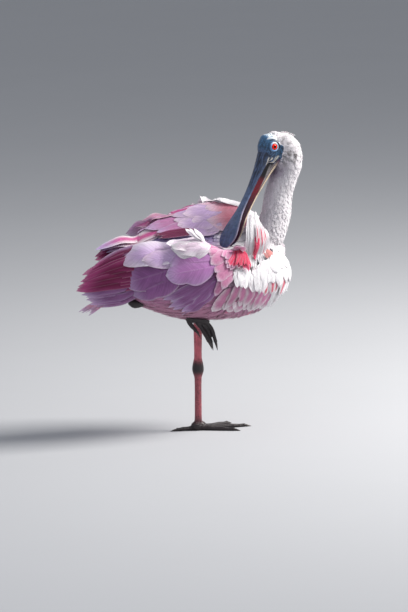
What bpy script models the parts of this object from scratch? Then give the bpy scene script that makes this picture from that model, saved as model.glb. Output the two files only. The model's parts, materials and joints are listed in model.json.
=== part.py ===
"""Roseate spoonbill, life size, preening its back while it stands on its left leg.

Metres. The origin is on the floor under the standing foot, +X is the way the body faces,
+Y is the bird's left and +Z is up. Every solid reaches out to the tips of its feathers.
The body is lofted whole and parted into wings, thighs and trunk by thin cuts.
"""

import math
from collections import namedtuple

import bmesh
import bpy
from mathutils import Matrix, Quaternion, Vector

# Clearance between neighbouring solids
GAP = 0.0003
# Faces that meet at less than this are joined after a cut
FLAT_ANGLE = math.radians(1.3)
# Points closer than this are one after a cut
WELD = 0.00002
# Edges sharper than this stay crisp
CRISP_ANGLE = math.radians(40.0)

# The head's own frame: its origin lies midway between the eyes
HEAD_ORIGIN = Vector((0.134, -0.0115, 0.478))
BILL_DIRECTION = Vector((-0.519, -0.174, -0.837)).normalized()
HEAD_LEFT = Vector((0.253, -0.966, 0.044))

# Head and bill
EYE_SPREAD = 0.0305
EYE_RADIUS = 0.0078

# Standing leg: heights above the floor and radii
LEG_TOP = 0.215
JOINT_HEIGHT = 0.107
SOLE_PAD_HEIGHT = 0.013
TIBIA_RADIUS = 0.0066
JOINT_RADIUS = 0.0098
TARSUS_RADIUS = 0.0056
LEG_LEAN = 0.026
# Each length of the leg: height above the floor and share of its radius
TARSUS_SHAPE = (
    (SOLE_PAD_HEIGHT - 0.006, 1.25),
    (0.022, 1.05),
    (0.050, 1.0),
    (0.080, 1.02),
    (JOINT_HEIGHT, 1.25),
)
JOINT_SHAPE = (
    (JOINT_HEIGHT - 0.016, 0.62),
    (JOINT_HEIGHT - 0.007, 0.94),
    (JOINT_HEIGHT, 1.0),
    (JOINT_HEIGHT + 0.008, 0.86),
    (JOINT_HEIGHT + 0.016, 0.68),
)
TIBIA_SHAPE = ((JOINT_HEIGHT, 1.1), (0.130, 0.96), (0.160, 1.0), (0.190, 1.12), (LEG_TOP, 1.25))
# The pad under the leg, from front to back
SOLE_PAD = (
    (Vector((0.012, 0.0, 0.0055)), 0.0055),
    (Vector((0.004, 0.0, 0.0070)), 0.0095),
    (Vector((-0.006, 0.0, 0.0065)), 0.0085),
    (Vector((-0.011, 0.0, 0.0050)), 0.0045),
)

# Toes: name, length and heading from straight ahead, in degrees to the bird's left
STANDING_TOES = (
    ("inner", 0.064, -34.0),
    ("middle", 0.083, -2.0),
    ("outer", 0.073, 30.0),
    ("hind", 0.038, 172.0),
)
TOE_RADIUS = 0.0047
TOE_TAPER = 0.38
TOE_SWELL = 0.10
CLAW_LENGTH = 0.0105
CLAW_RADIUS = 0.0024
# Place along the claw, from inside the toe's end to the tip, and share of its radius
CLAW_SHAPE = ((-0.15, 1.0), (0.25, 0.95), (0.6, 0.62), (0.85, 0.3), (1.0, 0.1))
CLAW_DROP = 0.35
# How high a toe and a claw on the floor carry their middle line, as a share of their radius
TOE_REST = 0.86
CLAW_REST = 0.8
CLAW_TIP_HEIGHT = 0.0006
# A direction that no toe points in, to measure their sides from
TOE_SIDE = Vector((0.13, 0.31, 0.94))

# Tucked leg: the joint shows behind the belly and the foot hangs below it
TUCKED_JOINT = Vector((-0.110, -0.018, 0.2275))
TUCKED_JOINT_SIZE = 0.78
# Steps ahead and up from the joint, and share of its radius
TUCKED_JOINT_SHAPE = (
    (-0.011, 0.003, 0.55),
    (-0.005, 0.001, 0.9),
    (0.0, -0.001, 1.0),
    (0.010, -0.001, 0.8),
    (0.022, 0.001, 0.6),
)
TUCKED_FOOT = Vector((-0.004, -0.024, 0.198))
# Steps ahead and up from the foot, and radius
TUCKED_FOOT_SHAPE = (
    (-0.019, 0.002, 0.0060),
    (-0.008, -0.001, 0.0085),
    (0.004, -0.003, 0.0090),
    (0.013, -0.007, 0.0080),
    (0.019, -0.012, 0.0050),
)
# Each toe: name, how far ahead of the foot it starts, where its tip hangs, and how far it bows forward
TUCKED_TOES = (
    ("inner", -0.0045, Vector((0.0140, -0.0300, 0.1550)), 0.002),
    ("middle", 0.0060, Vector((0.0275, -0.0255, 0.1520)), 0.007),
    ("outer", 0.0010, Vector((0.0215, -0.0195, 0.1510)), 0.005),
    ("hind", -0.0150, Vector((-0.0075, -0.0300, 0.1740)), -0.002),
)

# Body cross sections. The crest of a side is the top edge of its folded wing
Station = namedtuple(
    "Station", "x belly back right right_crest right_top left left_crest left_top"
)
BODY = (
    Station(-0.130, 0.243, 0.272, 0.018, 0.010, 0.272, 0.018, 0.010, 0.273),
    Station(-0.105, 0.223, 0.294, 0.043, 0.030, 0.298, 0.043, 0.033, 0.316),
    Station(-0.065, 0.204, 0.311, 0.064, 0.048, 0.320, 0.064, 0.052, 0.350),
    Station(-0.015, 0.189, 0.319, 0.075, 0.058, 0.331, 0.076, 0.065, 0.371),
    Station(0.035, 0.185, 0.314, 0.077, 0.058, 0.309, 0.081, 0.070, 0.385),
    Station(0.085, 0.189, 0.317, 0.069, 0.050, 0.307, 0.078, 0.066, 0.385),
    Station(0.120, 0.200, 0.316, 0.059, 0.040, 0.308, 0.068, 0.055, 0.372),
    Station(0.143, 0.216, 0.299, 0.046, 0.031, 0.295, 0.055, 0.043, 0.350),
    Station(0.159, 0.237, 0.280, 0.026, 0.016, 0.278, 0.030, 0.018, 0.290),
    Station(0.165, 0.256, 0.266, 0.007, 0.004, 0.266, 0.007, 0.004, 0.266),
)
BODY_RINGS = 18
BODY_POINTS = 24
# Heights between belly and back of the fullest part of the side and of the curve under it
SIDE_HEIGHT = 0.46
LOW_HEIGHT = 0.13
# Width of that curve, as a share of the side
LOW_WIDTH = 0.62

# Neck: a hook that rises from the breast and bends over into the back of the skull
NECK_PATH = (
    (Vector((0.109, 0.001, 0.270)), 0.033),
    (Vector((0.1315, 0.0015, 0.317)), 0.0290),
    (Vector((0.1485, 0.001, 0.357)), 0.0265),
    (Vector((0.1540, 0.000, 0.393)), 0.0245),
    (Vector((0.1630, -0.004, 0.423)), 0.0240),
    (Vector((0.1715, -0.010, 0.451)), 0.0240),
    (Vector((0.1670, -0.013, 0.476)), 0.0225),
    (Vector((0.1520, -0.014, 0.486)), 0.0185),
)

# Skull and bill sections along the bill: place, half width, middle height, half height
Section = namedtuple("Section", "along half_width middle half_height")
SKULL = (
    Section(-0.0300, 0.0080, -0.002, 0.0070),
    Section(-0.0265, 0.0150, -0.002, 0.0135),
    Section(-0.0160, 0.0205, -0.002, 0.0190),
    Section(-0.0030, 0.0205, -0.003, 0.0210),
    Section(0.0080, 0.0185, -0.005, 0.0208),
    Section(0.0180, 0.0160, -0.0085, 0.0180),
    Section(0.0235, 0.0125, -0.0100, 0.0135),
)
UPPER_BILL = (
    Section(0.0130, 0.0135, -0.0015, 0.0085),
    Section(0.0300, 0.0115, -0.0036, 0.0064),
    Section(0.0550, 0.0092, -0.0046, 0.0045),
    Section(0.0900, 0.0083, -0.0050, 0.0036),
    Section(0.1200, 0.0105, -0.0048, 0.0032),
    Section(0.1400, 0.0168, -0.0046, 0.0029),
    Section(0.1600, 0.0232, -0.0050, 0.0027),
    Section(0.1740, 0.0236, -0.0058, 0.0025),
    Section(0.1850, 0.0165, -0.0070, 0.0021),
    Section(0.1895, 0.0070, -0.0080, 0.0015),
)
LOWER_BILL = (
    Section(0.0060, 0.0158, -0.0238, 0.0046),
    Section(0.0300, 0.0138, -0.0226, 0.0044),
    Section(0.0600, 0.0114, -0.0203, 0.0038),
    Section(0.0900, 0.0098, -0.0186, 0.0032),
    Section(0.1200, 0.0108, -0.0176, 0.0028),
    Section(0.1400, 0.0158, -0.0164, 0.0026),
    Section(0.1600, 0.0216, -0.0148, 0.0024),
    Section(0.1730, 0.0216, -0.0132, 0.0022),
    Section(0.1845, 0.0110, -0.0118, 0.0015),
)
BILL_TROUGH = 0.55
BILL_SQUARENESS = 2.3

# Folded wings: an oval outline on each side, cut to a depth that narrows towards the tail
WING_MIDDLE = Vector((-0.028, 0.0, 0.282))
WING_LENGTH = 0.104
WING_HEIGHT = 0.066
LEFT_WING_HEIGHT = 0.112
WING_PITCH = math.radians(7.0)
WING_INNER_FACE = 0.047
WING_DEPTH = 0.09
WING_TOE_IN = math.radians(9.0)

# Thighs: egg shapes in the flanks
THIGH_MIDDLE = Vector((0.012, 0.030, 0.214))
THIGH_RADII = Vector((0.052, 0.026, 0.030))

# Feather blades: root, tip, width, and which way the flat side faces
Blade = namedtuple("Blade", "root tip width facing")
BLADE_THICKNESS = 0.0036
BLADE_THINNING = 0.55
# Place along the blade and share of its width
BLADE_SHAPE = ((0.0, 0.55), (0.2, 0.80), (0.45, 0.97), (0.68, 1.0), (0.84, 0.86), (0.94, 0.55), (1.0, 0.16))
RIGHT_PRIMARIES = (
    Blade(Vector((-0.070, -0.048, 0.316)), Vector((-0.172, -0.040, 0.306)), 0.026, Vector((0.2, -1.0, 0.35))),
    Blade(Vector((-0.068, -0.049, 0.306)), Vector((-0.192, -0.036, 0.285)), 0.030, Vector((0.2, -1.0, 0.25))),
    Blade(Vector((-0.066, -0.050, 0.294)), Vector((-0.210, -0.031, 0.266)), 0.030, Vector((0.2, -1.0, 0.15))),
    Blade(Vector((-0.066, -0.049, 0.280)), Vector((-0.208, -0.029, 0.246)), 0.028, Vector((0.2, -1.0, 0.05))),
    Blade(Vector((-0.066, -0.047, 0.266)), Vector((-0.196, -0.027, 0.230)), 0.026, Vector((0.2, -1.0, -0.1))),
)
RIGHT_TERTIALS = (
    Blade(Vector((-0.020, -0.063, 0.326)), Vector((-0.138, -0.052, 0.300)), 0.036, Vector((0.1, -0.75, 0.6))),
    Blade(Vector((-0.020, -0.068, 0.312)), Vector((-0.128, -0.058, 0.276)), 0.042, Vector((0.1, -0.9, 0.35))),
)
LEFT_PRIMARIES = (
    Blade(Vector((-0.060, 0.050, 0.332)), Vector((-0.164, 0.022, 0.314)), 0.026, Vector((0.1, 0.80, 0.6))),
    Blade(Vector((-0.060, 0.052, 0.322)), Vector((-0.172, 0.026, 0.296)), 0.028, Vector((0.1, 0.90, 0.4))),
    Blade(Vector((-0.060, 0.054, 0.308)), Vector((-0.184, 0.028, 0.272)), 0.030, Vector((0.1, 1.0, 0.2))),
    Blade(Vector((-0.060, 0.053, 0.290)), Vector((-0.186, 0.026, 0.246)), 0.030, Vector((0.1, 1.0, 0.0))),
)
LEFT_TERTIALS = (
    Blade(Vector((0.000, 0.067, 0.368)), Vector((-0.094, 0.058, 0.340)), 0.030, Vector((0.0, 0.55, 0.85))),
    Blade(Vector((0.000, 0.076, 0.354)), Vector((-0.120, 0.064, 0.316)), 0.040, Vector((0.1, 0.95, 0.35))),
)
LEFT_SHOULDER_PLUMES = (
    Blade(Vector((0.078, 0.070, 0.376)), Vector((0.036, 0.080, 0.391)), 0.020, Vector((0.3, -0.6, 0.7))),
    Blade(Vector((0.071, 0.0665, 0.3745)), Vector((0.022, 0.078, 0.382)), 0.022, Vector((0.3, -0.6, 0.7))),
    Blade(Vector((0.105, 0.062, 0.368)), Vector((0.056, 0.076, 0.388)), 0.026, Vector((0.3, -0.6, 0.7))),
)
# The tail fan: blades turned evenly about its root
TAIL_ROOT = Vector((-0.095, 0.0, 0.258))
TAIL_TIP = Vector((-0.199, 0.0, 0.2135))
TAIL_BLADES = 5
TAIL_FAN = math.radians(30.0)
TAIL_WIDTH = 0.030
TAIL_STEP = 0.0009

# Raised plumage of the right shoulder, between the bill and the neck
RIGHT_SHOULDER_PLUMES = (
    Blade(Vector((0.070, -0.064, 0.286)), Vector((0.0865, -0.0535, 0.379)), 0.028, Vector((0.3, -1.0, 0.1))),
    Blade(Vector((0.084, -0.060, 0.284)), Vector((0.0960, -0.0520, 0.368)), 0.032, Vector((0.3, -1.0, 0.1))),
    Blade(Vector((0.101, -0.054, 0.282)), Vector((0.1110, -0.0460, 0.350)), 0.036, Vector((0.3, -1.0, 0.1))),
)

PARTS = bpy.data.collections.new("roseate_spoonbill")
CUTTERS = bpy.data.collections.new("cutters")


def clear_scene():
    """Empties the scene and links the two collections."""
    for item in list(bpy.data.objects):
        bpy.data.objects.remove(item, do_unlink=True)
    for collection in (PARTS, CUTTERS):
        bpy.context.scene.collection.children.link(collection)


def finish(name, colour, roughness=0.6):
    """A named Principled material, made once."""
    found = bpy.data.materials.get(name)
    if found:
        return found
    made = bpy.data.materials.new(name)
    made.use_nodes = True
    shader = made.node_tree.nodes["Principled BSDF"]
    shader.inputs["Base Color"].default_value = (*colour, 1.0)
    shader.inputs["Roughness"].default_value = roughness
    return made


def white_plumage():
    return finish("white_plumage", (0.86, 0.80, 0.80), 0.8)


def pink_plumage():
    return finish("pink_plumage", (0.80, 0.38, 0.50), 0.75)


def carmine_plumage():
    return finish("carmine_plumage", (0.55, 0.06, 0.18), 0.7)


def orange_plumage():
    return finish("orange_plumage", (0.80, 0.32, 0.22), 0.75)


def slate_horn():
    return finish("slate_horn", (0.16, 0.23, 0.32), 0.45)


def red_leg_skin():
    return finish("red_leg_skin", (0.55, 0.12, 0.13), 0.5)


def black_foot_skin():
    return finish("black_foot_skin", (0.02, 0.02, 0.025), 0.5)


def red_eye():
    return finish("red_eye", (0.70, 0.05, 0.02), 0.1)


def between(values, t):
    """A smooth curve through evenly numbered values (Catmull and Rom), at t from 0 to 1."""
    last = len(values) - 1
    place = min(max(t, 0.0), 1.0) * last
    first = min(int(place), last - 1)
    u = place - first
    a, b, c, d = (values[min(max(first + k, 0), last)] for k in (-1, 0, 1, 2))
    return b + 0.5 * u * (c - a + u * (2 * a - 5 * b + 4 * c - d + u * (3 * (b - c) + d - a)))


def part(name, mesh, material):
    """A finished solid in the model's collection."""
    made = bpy.data.objects.new(name, mesh)
    PARTS.objects.link(made)
    mesh.materials.append(material)
    mesh.shade_smooth()
    mesh.set_sharp_from_angle(angle=CRISP_ANGLE)
    return made


def loft(rings):
    """A closed mesh through rings of like count, with a fan over each end."""
    shape = bmesh.new()
    rows = [[shape.verts.new(point) for point in ring] for ring in rings]
    count = len(rows[0])
    for first, second in zip(rows, rows[1:]):
        for k in range(count):
            after = (k + 1) % count
            shape.faces.new((first[k], first[after], second[after], second[k]))
    for row in (rows[0], rows[-1]):
        middle = shape.verts.new(sum((v.co for v in row), Vector()) / count)
        for k in range(count):
            shape.faces.new((row[k], row[(k + 1) % count], middle))
    bmesh.ops.recalc_face_normals(shape, faces=shape.faces)
    bmesh.ops.triangulate(shape, faces=shape.faces)
    mesh = bpy.data.meshes.new("loft")
    shape.to_mesh(mesh)
    shape.free()
    return mesh


def oval(middle, side, up, half_side, half_up, count, squareness=2.0):
    """A ring of points; a squareness over 2 fills its corners."""
    ring = []
    for k in range(count):
        angle = 2.0 * math.pi * k / count
        c, s = math.cos(angle), math.sin(angle)
        across = math.copysign(abs(c) ** (2.0 / squareness), c) * half_side
        over = math.copysign(abs(s) ** (2.0 / squareness), s) * half_up
        ring.append(middle + side * across + up * over)
    return ring


def tube(path, rings, count, reference=Vector((0.0, 1.0, 0.0)), floor=None):
    """A closed tube along a smooth path of (point, radius), cut flat at the floor where one is given."""
    points = [p for p, _ in path]
    radii = [r for _, r in path]
    made = []
    step = 1.0 / (rings - 1)
    for k in range(rings):
        t = k * step
        ahead = between(points, min(t + 0.01, 1.0)) - between(points, max(t - 0.01, 0.0))
        side = reference.cross(ahead).normalized()
        up = ahead.normalized().cross(side)
        radius = between(radii, t)
        ring = oval(between(points, t), side, up, radius, radius, count)
        if floor is not None:
            ring = [Vector((p.x, p.y, max(p.z, floor))) for p in ring]
        made.append(ring)
    return loft(made)


def blade_mesh(blade):
    """One feather, or one bundle of them: flat, widest past its middle, with a round tip."""
    along = blade.tip - blade.root
    across = along.cross(blade.facing).normalized()
    over = across.cross(along).normalized()
    rings = []
    for place, share in BLADE_SHAPE:
        half = blade.width * 0.5 * share
        thin = BLADE_THICKNESS * 0.5 * (1.0 - BLADE_THINNING * place)
        rings.append(oval(blade.root + along * place, across, over, half, thin, 8))
    return loft(rings)


def evaluated(item):
    """The mesh an object shows, in world space."""
    graph = bpy.context.evaluated_depsgraph_get()
    mesh = bpy.data.meshes.new_from_object(item.evaluated_get(graph))
    mesh.transform(item.matrix_world)
    return mesh


def cutter(name, mesh, swell=0.0):
    """A hidden shape for cuts, grown by the clearance along its normals."""
    if swell:
        moved = [(v.index, v.co + v.normal * swell) for v in mesh.vertices]
        for index, place in moved:
            mesh.vertices[index].co = place
    made = bpy.data.objects.new(name, mesh)
    made.hide_render = True
    made.display_type = "WIRE"
    CUTTERS.objects.link(made)
    return made


def combine(item, other, operation):
    """Applies one exact Boolean to an object."""
    step = item.modifiers.new(operation.lower(), "BOOLEAN")
    step.operation = operation
    step.solver = "EXACT"
    step.object = other
    bpy.context.view_layer.update()
    mesh = evaluated(item)
    item.modifiers.clear()
    old = item.data
    item.data = mesh
    bpy.data.meshes.remove(old)
    drop_crumbs(mesh)


def drop_crumbs(mesh):
    """Keeps the largest closed piece that a cut leaves, and joins its flat faces."""
    shape = bmesh.new()
    shape.from_mesh(mesh)
    bmesh.ops.remove_doubles(shape, verts=shape.verts, dist=WELD)
    found = set()
    pieces = []
    for first in shape.verts:
        if first in found:
            continue
        found.add(first)
        piece = {first}
        edge = [first]
        while edge:
            for link in edge.pop().link_edges:
                for vert in link.verts:
                    if vert not in found:
                        found.add(vert)
                        piece.add(vert)
                        edge.append(vert)
        pieces.append(piece)
    keep = max(pieces, key=len)
    bmesh.ops.delete(shape, geom=[v for v in shape.verts if v not in keep], context="VERTS")
    bmesh.ops.dissolve_limit(shape, angle_limit=FLAT_ANGLE, verts=shape.verts, edges=shape.edges)
    bmesh.ops.triangulate(shape, faces=shape.faces)
    shape.to_mesh(mesh)
    shape.free()


def near_each_other(first, second, margin=0.002):
    """Whether two objects' boxes touch."""
    for axis in range(3):
        a = [v.co[axis] for v in first.data.vertices]
        b = [v.co[axis] for v in second.data.vertices]
        if min(a) > max(b) + margin or min(b) > max(a) + margin:
            return False
    return True


def make_room(item, *keepers):
    """Cuts an object clear of the neighbours that keep their shape."""
    for keeper in keepers:
        if near_each_other(item, keeper):
            combine(item, cutter(keeper.name + "_room", evaluated(keeper), GAP), "DIFFERENCE")


def head_axes():
    """The bill's direction, the head's left and the head's up."""
    left = (HEAD_LEFT - BILL_DIRECTION * HEAD_LEFT.dot(BILL_DIRECTION)).normalized()
    return BILL_DIRECTION, left, BILL_DIRECTION.cross(left)


def in_head(along, left, up):
    """A point given in the head's own frame."""
    ahead, side, top = head_axes()
    return HEAD_ORIGIN + ahead * along + side * left + top * up


def head_loft(sections, rings, count, squareness=2.0, trough=0.0):
    """A loft along the bill. A trough hollows the upper side of each section."""
    _, side, top = head_axes()
    made = []
    for k in range(rings):
        t = k / (rings - 1)
        along, half_width, middle, half_height = (
            between([section[field] for section in sections], t) for field in range(4)
        )
        flat = (Vector(), Vector((1, 0, 0)), Vector((0, 0, 1)))
        placed = []
        for p in oval(*flat, half_width, half_height, count, squareness):
            dip = trough * half_height * (1.0 - (p.x / half_width) ** 2) if p.z > 0.0 else 0.0
            placed.append(in_head(along, 0.0, middle) + side * p.x + top * (p.z - dip))
        made.append(placed)
    return loft(made)


def make_eyes():
    """Two eyeballs sunk in the skull."""
    eyes = []
    for name, sign in (("eye_left", 1.0), ("eye_right", -1.0)):
        shape = bmesh.new()
        bmesh.ops.create_uvsphere(shape, u_segments=12, v_segments=8, radius=EYE_RADIUS)
        bmesh.ops.translate(shape, verts=shape.verts, vec=in_head(0.0, sign * (EYE_SPREAD * 0.5), 0.0))
        mesh = bpy.data.meshes.new(name)
        shape.to_mesh(mesh)
        shape.free()
        eyes.append(part(name, mesh, red_eye()))
    return eyes


def make_head_and_bill():
    """The skull keeps its shape, and both halves of the bill start from its face."""
    eyes = make_eyes()
    head = part("head", head_loft(SKULL, 10, 14), white_plumage())
    make_room(head, *eyes)
    upper = part("bill_upper", head_loft(UPPER_BILL, 15, 12, BILL_SQUARENESS), slate_horn())
    lower = part("bill_lower", head_loft(LOWER_BILL, 14, 12, BILL_SQUARENESS, BILL_TROUGH), slate_horn())
    make_room(upper, head)
    make_room(lower, head)
    return eyes, head, upper, lower


def body_ring(station):
    """One cross section of the body with both folded wings."""
    side = station.belly + SIDE_HEIGHT * (station.back - station.belly)
    low = station.belly + LOW_HEIGHT * (station.back - station.belly)
    corners = [
        (0.0, station.belly),
        (-LOW_WIDTH * station.right, low),
        (-station.right, side),
        (-0.5 * (station.right + station.right_crest) - 0.003, 0.35 * side + 0.65 * station.right_top),
        (-station.right_crest, station.right_top),
        (0.0, station.back),
        (0.55 * station.left_crest, 0.45 * station.back + 0.55 * station.left_top),
        (station.left_crest, station.left_top),
        (0.5 * (station.left + station.left_crest) + 0.004, 0.35 * side + 0.65 * station.left_top),
        (station.left, side),
        (LOW_WIDTH * station.left, low),
    ]
    closed = [Vector((station.x, y, z)) for y, z in corners]
    count = len(closed)
    wrapped = [closed[k % count] for k in range(-2, count + 3)]
    ring = []
    for k in range(BODY_POINTS):
        t = (2 + count * k / BODY_POINTS) / (len(wrapped) - 1)
        ring.append(between(wrapped, t))
    return ring


def body_mesh():
    """The trunk and both folded wings as one loft."""
    rings = []
    for k in range(BODY_RINGS):
        t = k / (BODY_RINGS - 1)
        fields = [between([station[field] for station in BODY], t) for field in range(len(BODY[0]))]
        rings.append(body_ring(Station(*fields)))
    return loft(rings)


def wing_cutter(name, sign, height):
    """An oval block on one side, whose inner face turns in towards the tail."""
    shape = bmesh.new()
    bmesh.ops.create_cone(shape, cap_ends=True, segments=24, radius1=1.0, radius2=1.0, depth=1.0)
    scale = Matrix.Diagonal((WING_LENGTH, height, WING_DEPTH, 1.0))
    stand = Matrix.Rotation(math.radians(90.0), 4, "X")
    pitch = Matrix.Rotation(WING_PITCH, 4, "Y")
    toe_in = Matrix.Rotation(sign * WING_TOE_IN, 4, "Z")
    rise = height - WING_HEIGHT
    middle = WING_MIDDLE + Vector((0.0, sign * (WING_INNER_FACE + WING_DEPTH * 0.5), rise))
    place = Matrix.Translation(middle)
    bmesh.ops.transform(shape, verts=shape.verts, matrix=place @ toe_in @ pitch @ stand @ scale)
    bmesh.ops.recalc_face_normals(shape, faces=shape.faces)
    bmesh.ops.triangulate(shape, faces=shape.faces)
    mesh = bpy.data.meshes.new(name)
    shape.to_mesh(mesh)
    shape.free()
    return cutter(name, mesh)


def thigh_cutter(name, sign):
    """An egg in one flank."""
    shape = bmesh.new()
    bmesh.ops.create_uvsphere(shape, u_segments=12, v_segments=8, radius=1.0)
    middle = Vector((THIGH_MIDDLE.x, sign * THIGH_MIDDLE.y, THIGH_MIDDLE.z))
    place = Matrix.Translation(middle) @ Matrix.Diagonal((*THIGH_RADII, 1.0))
    bmesh.ops.transform(shape, verts=shape.verts, matrix=place)
    mesh = bpy.data.meshes.new(name)
    shape.to_mesh(mesh)
    shape.free()
    return cutter(name, mesh)


def make_body(bill):
    """The loft, parted by thin cuts into two wings, two thighs and the trunk."""
    pieces = [
        ("wing_right", wing_cutter("wing_right_block", -1.0, WING_HEIGHT), pink_plumage()),
        ("wing_left", wing_cutter("wing_left_block", 1.0, LEFT_WING_HEIGHT), pink_plumage()),
        ("thigh_right", thigh_cutter("thigh_right_egg", -1.0), pink_plumage()),
        ("thigh_left", thigh_cutter("thigh_left_egg", 1.0), pink_plumage()),
    ]
    trunk = part("trunk", body_mesh(), pink_plumage())
    made = {"trunk": trunk}
    for name, block, material in pieces:
        piece = part(name, evaluated(trunk), material)
        combine(piece, block, "INTERSECT")
        make_room(trunk, piece)
        make_room(piece, *bill)
        made[name] = piece
    make_room(trunk, *bill)
    return made


def make_neck(head, eyes, bill, body):
    """The neck takes what room the head, the bill and the body leave it."""
    neck = part("neck", tube(NECK_PATH, 14, 16), white_plumage())
    make_room(neck, head, *eyes, *bill, *body)
    return neck


def bundle(name, blades, material, keepers):
    """Feather blades joined into one piece and cut clear of what carries them."""
    made = part(name, blade_mesh(blades[0]), material)
    for blade in blades[1:]:
        combine(made, cutter(name + "_blade", blade_mesh(blade)), "UNION")
    make_room(made, *keepers)
    return made


def tail_blades():
    """The tail feathers, fanned about their root."""
    along = TAIL_TIP - TAIL_ROOT
    facing = along.cross(Vector((0.0, 1.0, 0.0))).normalized()
    blades = []
    for k in range(TAIL_BLADES):
        turn = TAIL_FAN * (k / (TAIL_BLADES - 1) - 0.5)
        spread = Quaternion(facing, turn) @ along
        sink = facing * (TAIL_STEP * abs(k - TAIL_BLADES // 2) + TAIL_STEP * 0.3 * k)
        root = TAIL_ROOT + Quaternion(facing, turn * 2.0) @ along * 0.1 + sink
        blades.append(Blade(root, TAIL_ROOT + spread * (1.0 - 0.25 * abs(turn)) + sink, TAIL_WIDTH, facing))
    return blades


def leg_point(height):
    """The standing leg's middle line, which leans forward a little as it rises."""
    return Vector((LEG_LEAN * (height - SOLE_PAD_HEIGHT), 0.0, height))


def make_standing_leg(body):
    """Tibia, joint, tarsus and the pad that carries the toes."""
    tarsus_path = [(leg_point(height), TARSUS_RADIUS * share) for height, share in TARSUS_SHAPE]
    joint_path = [(leg_point(height), JOINT_RADIUS * share) for height, share in JOINT_SHAPE]
    tibia_path = [(leg_point(height), TIBIA_RADIUS * share) for height, share in TIBIA_SHAPE]
    joint = part("ankle_left", tube(joint_path, 8, 12), black_foot_skin())
    tarsus = part("tarsus_left", tube(tarsus_path, 8, 12), red_leg_skin())
    tibia = part("tibia_left", tube(tibia_path, 8, 12), red_leg_skin())
    make_room(tarsus, joint)
    make_room(tibia, joint, tarsus, *body)
    pad = part("foot_left", tube(SOLE_PAD, 7, 12, floor=0.0), black_foot_skin())
    make_room(pad, tarsus)
    return joint, tarsus, tibia, pad


def toe_radius(t):
    """A toe tapers, and swells at its joints."""
    return TOE_RADIUS * (1.0 - TOE_TAPER * t) * (1.0 + TOE_SWELL * math.cos(6.0 * math.pi * t))


def make_toe(name, points, keepers, floor):
    """One toe along its points with the claw at its end."""
    count = 8
    path = []
    for k in range(count):
        t = k / (count - 1)
        path.append((between(points, t), toe_radius(t)))
    if floor is not None:
        path = [(Vector((p.x, p.y, r * TOE_REST)), r) for p, r in path]
    toe = part("toe_" + name, tube(path, count, 8, TOE_SIDE, floor), black_foot_skin())
    make_room(toe, *keepers)
    tip = path[-1][0]
    ahead = (tip - path[-2][0]).normalized()
    drop = Vector((0.0, 0.0, -1.0)) if floor is None else Vector((0.0, 0.0, -0.25))
    claw_path = []
    for t, share in CLAW_SHAPE:
        place = tip + ahead * (CLAW_LENGTH * t) + drop * (CLAW_LENGTH * CLAW_DROP * max(t, 0.0) ** 2)
        claw_path.append((place, CLAW_RADIUS * share))
    if floor is not None:
        claw_path = [(Vector((p.x, p.y, max(r * CLAW_REST, CLAW_TIP_HEIGHT))), r) for p, r in claw_path]
    claw = part("claw_" + name, tube(claw_path, 5, 6, TOE_SIDE, floor), black_foot_skin())
    make_room(claw, toe, *keepers)
    return toe, claw


def make_standing_toes(keepers):
    """Four toes flat on the floor, spread as they carry the bird."""
    made = []
    for name, length, heading in STANDING_TOES:
        turn = math.radians(heading)
        ahead = Vector((math.cos(turn), math.sin(turn), 0.0))
        points = [ahead * (length * t) for t in (0.0, 0.33, 0.66, 1.0)]
        made.extend(make_toe(name + "_left", points, list(keepers) + made, 0.0))
    return made


def make_tucked_leg(body):
    """The joint that shows behind the belly and the foot that hangs under it."""
    size = JOINT_RADIUS * TUCKED_JOINT_SIZE
    joint_path = [(TUCKED_JOINT + Vector((x, 0.0, z)), size * share) for x, z, share in TUCKED_JOINT_SHAPE]
    joint = part("ankle_right", tube(joint_path, 7, 10), black_foot_skin())
    make_room(joint, *body)
    root_path = [(TUCKED_FOOT + Vector((x, 0.0, z)), radius) for x, z, radius in TUCKED_FOOT_SHAPE]
    root = part("foot_right", tube(root_path, 7, 10), black_foot_skin())
    make_room(root, *body)
    made = [joint, root]
    for name, offset, tip, bow in TUCKED_TOES:
        start = TUCKED_FOOT + Vector((offset, 0.0, -0.004))
        middle = (start + tip) * 0.5 + Vector((bow, 0.0, 0.0))
        points = [start, (start + middle) * 0.5 + Vector((bow * 0.4, 0.0, 0.0)), middle, tip]
        made.extend(make_toe(name + "_right", points, list(body) + made, None))
    return made


def main():
    clear_scene()
    eyes, head, upper, lower = make_head_and_bill()
    body = make_body((upper, lower))
    flesh = list(body.values())
    neck = make_neck(head, eyes, (upper, lower), flesh)
    settled = flesh + [neck, head, upper, lower]
    for name, blades, material in (
        ("shoulder_right", RIGHT_SHOULDER_PLUMES, white_plumage()),
        ("tertials_right", RIGHT_TERTIALS, pink_plumage()),
        ("primaries_right", RIGHT_PRIMARIES, carmine_plumage()),
        ("tertials_left", LEFT_TERTIALS, carmine_plumage()),
        ("primaries_left", LEFT_PRIMARIES, carmine_plumage()),
        ("shoulder_left", LEFT_SHOULDER_PLUMES, white_plumage()),
        ("tail", tail_blades(), orange_plumage()),
    ):
        settled.append(bundle(name, blades, material, settled))
    leg = make_standing_leg(flesh)
    make_standing_toes(leg)
    make_tucked_leg(flesh + list(leg) + [settled[-1]])


main()
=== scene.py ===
"""Looks of the roseate spoonbill: one skin, its plumage, bill, eyes, legs and claws, and the stage.

Metres, in the packed model's frame: the origin is on the floor under the standing foot,
+X is the way the body faces, +Y is the bird's left and +Z is up.
"""

import json
import math
from collections import namedtuple

import bmesh
import bpy
import numpy as np
from bpy.props import FloatProperty, FloatVectorProperty, IntProperty
from mathutils import Matrix, Vector, noise as value_noise
from mathutils.bvhtree import BVHTree


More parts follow.
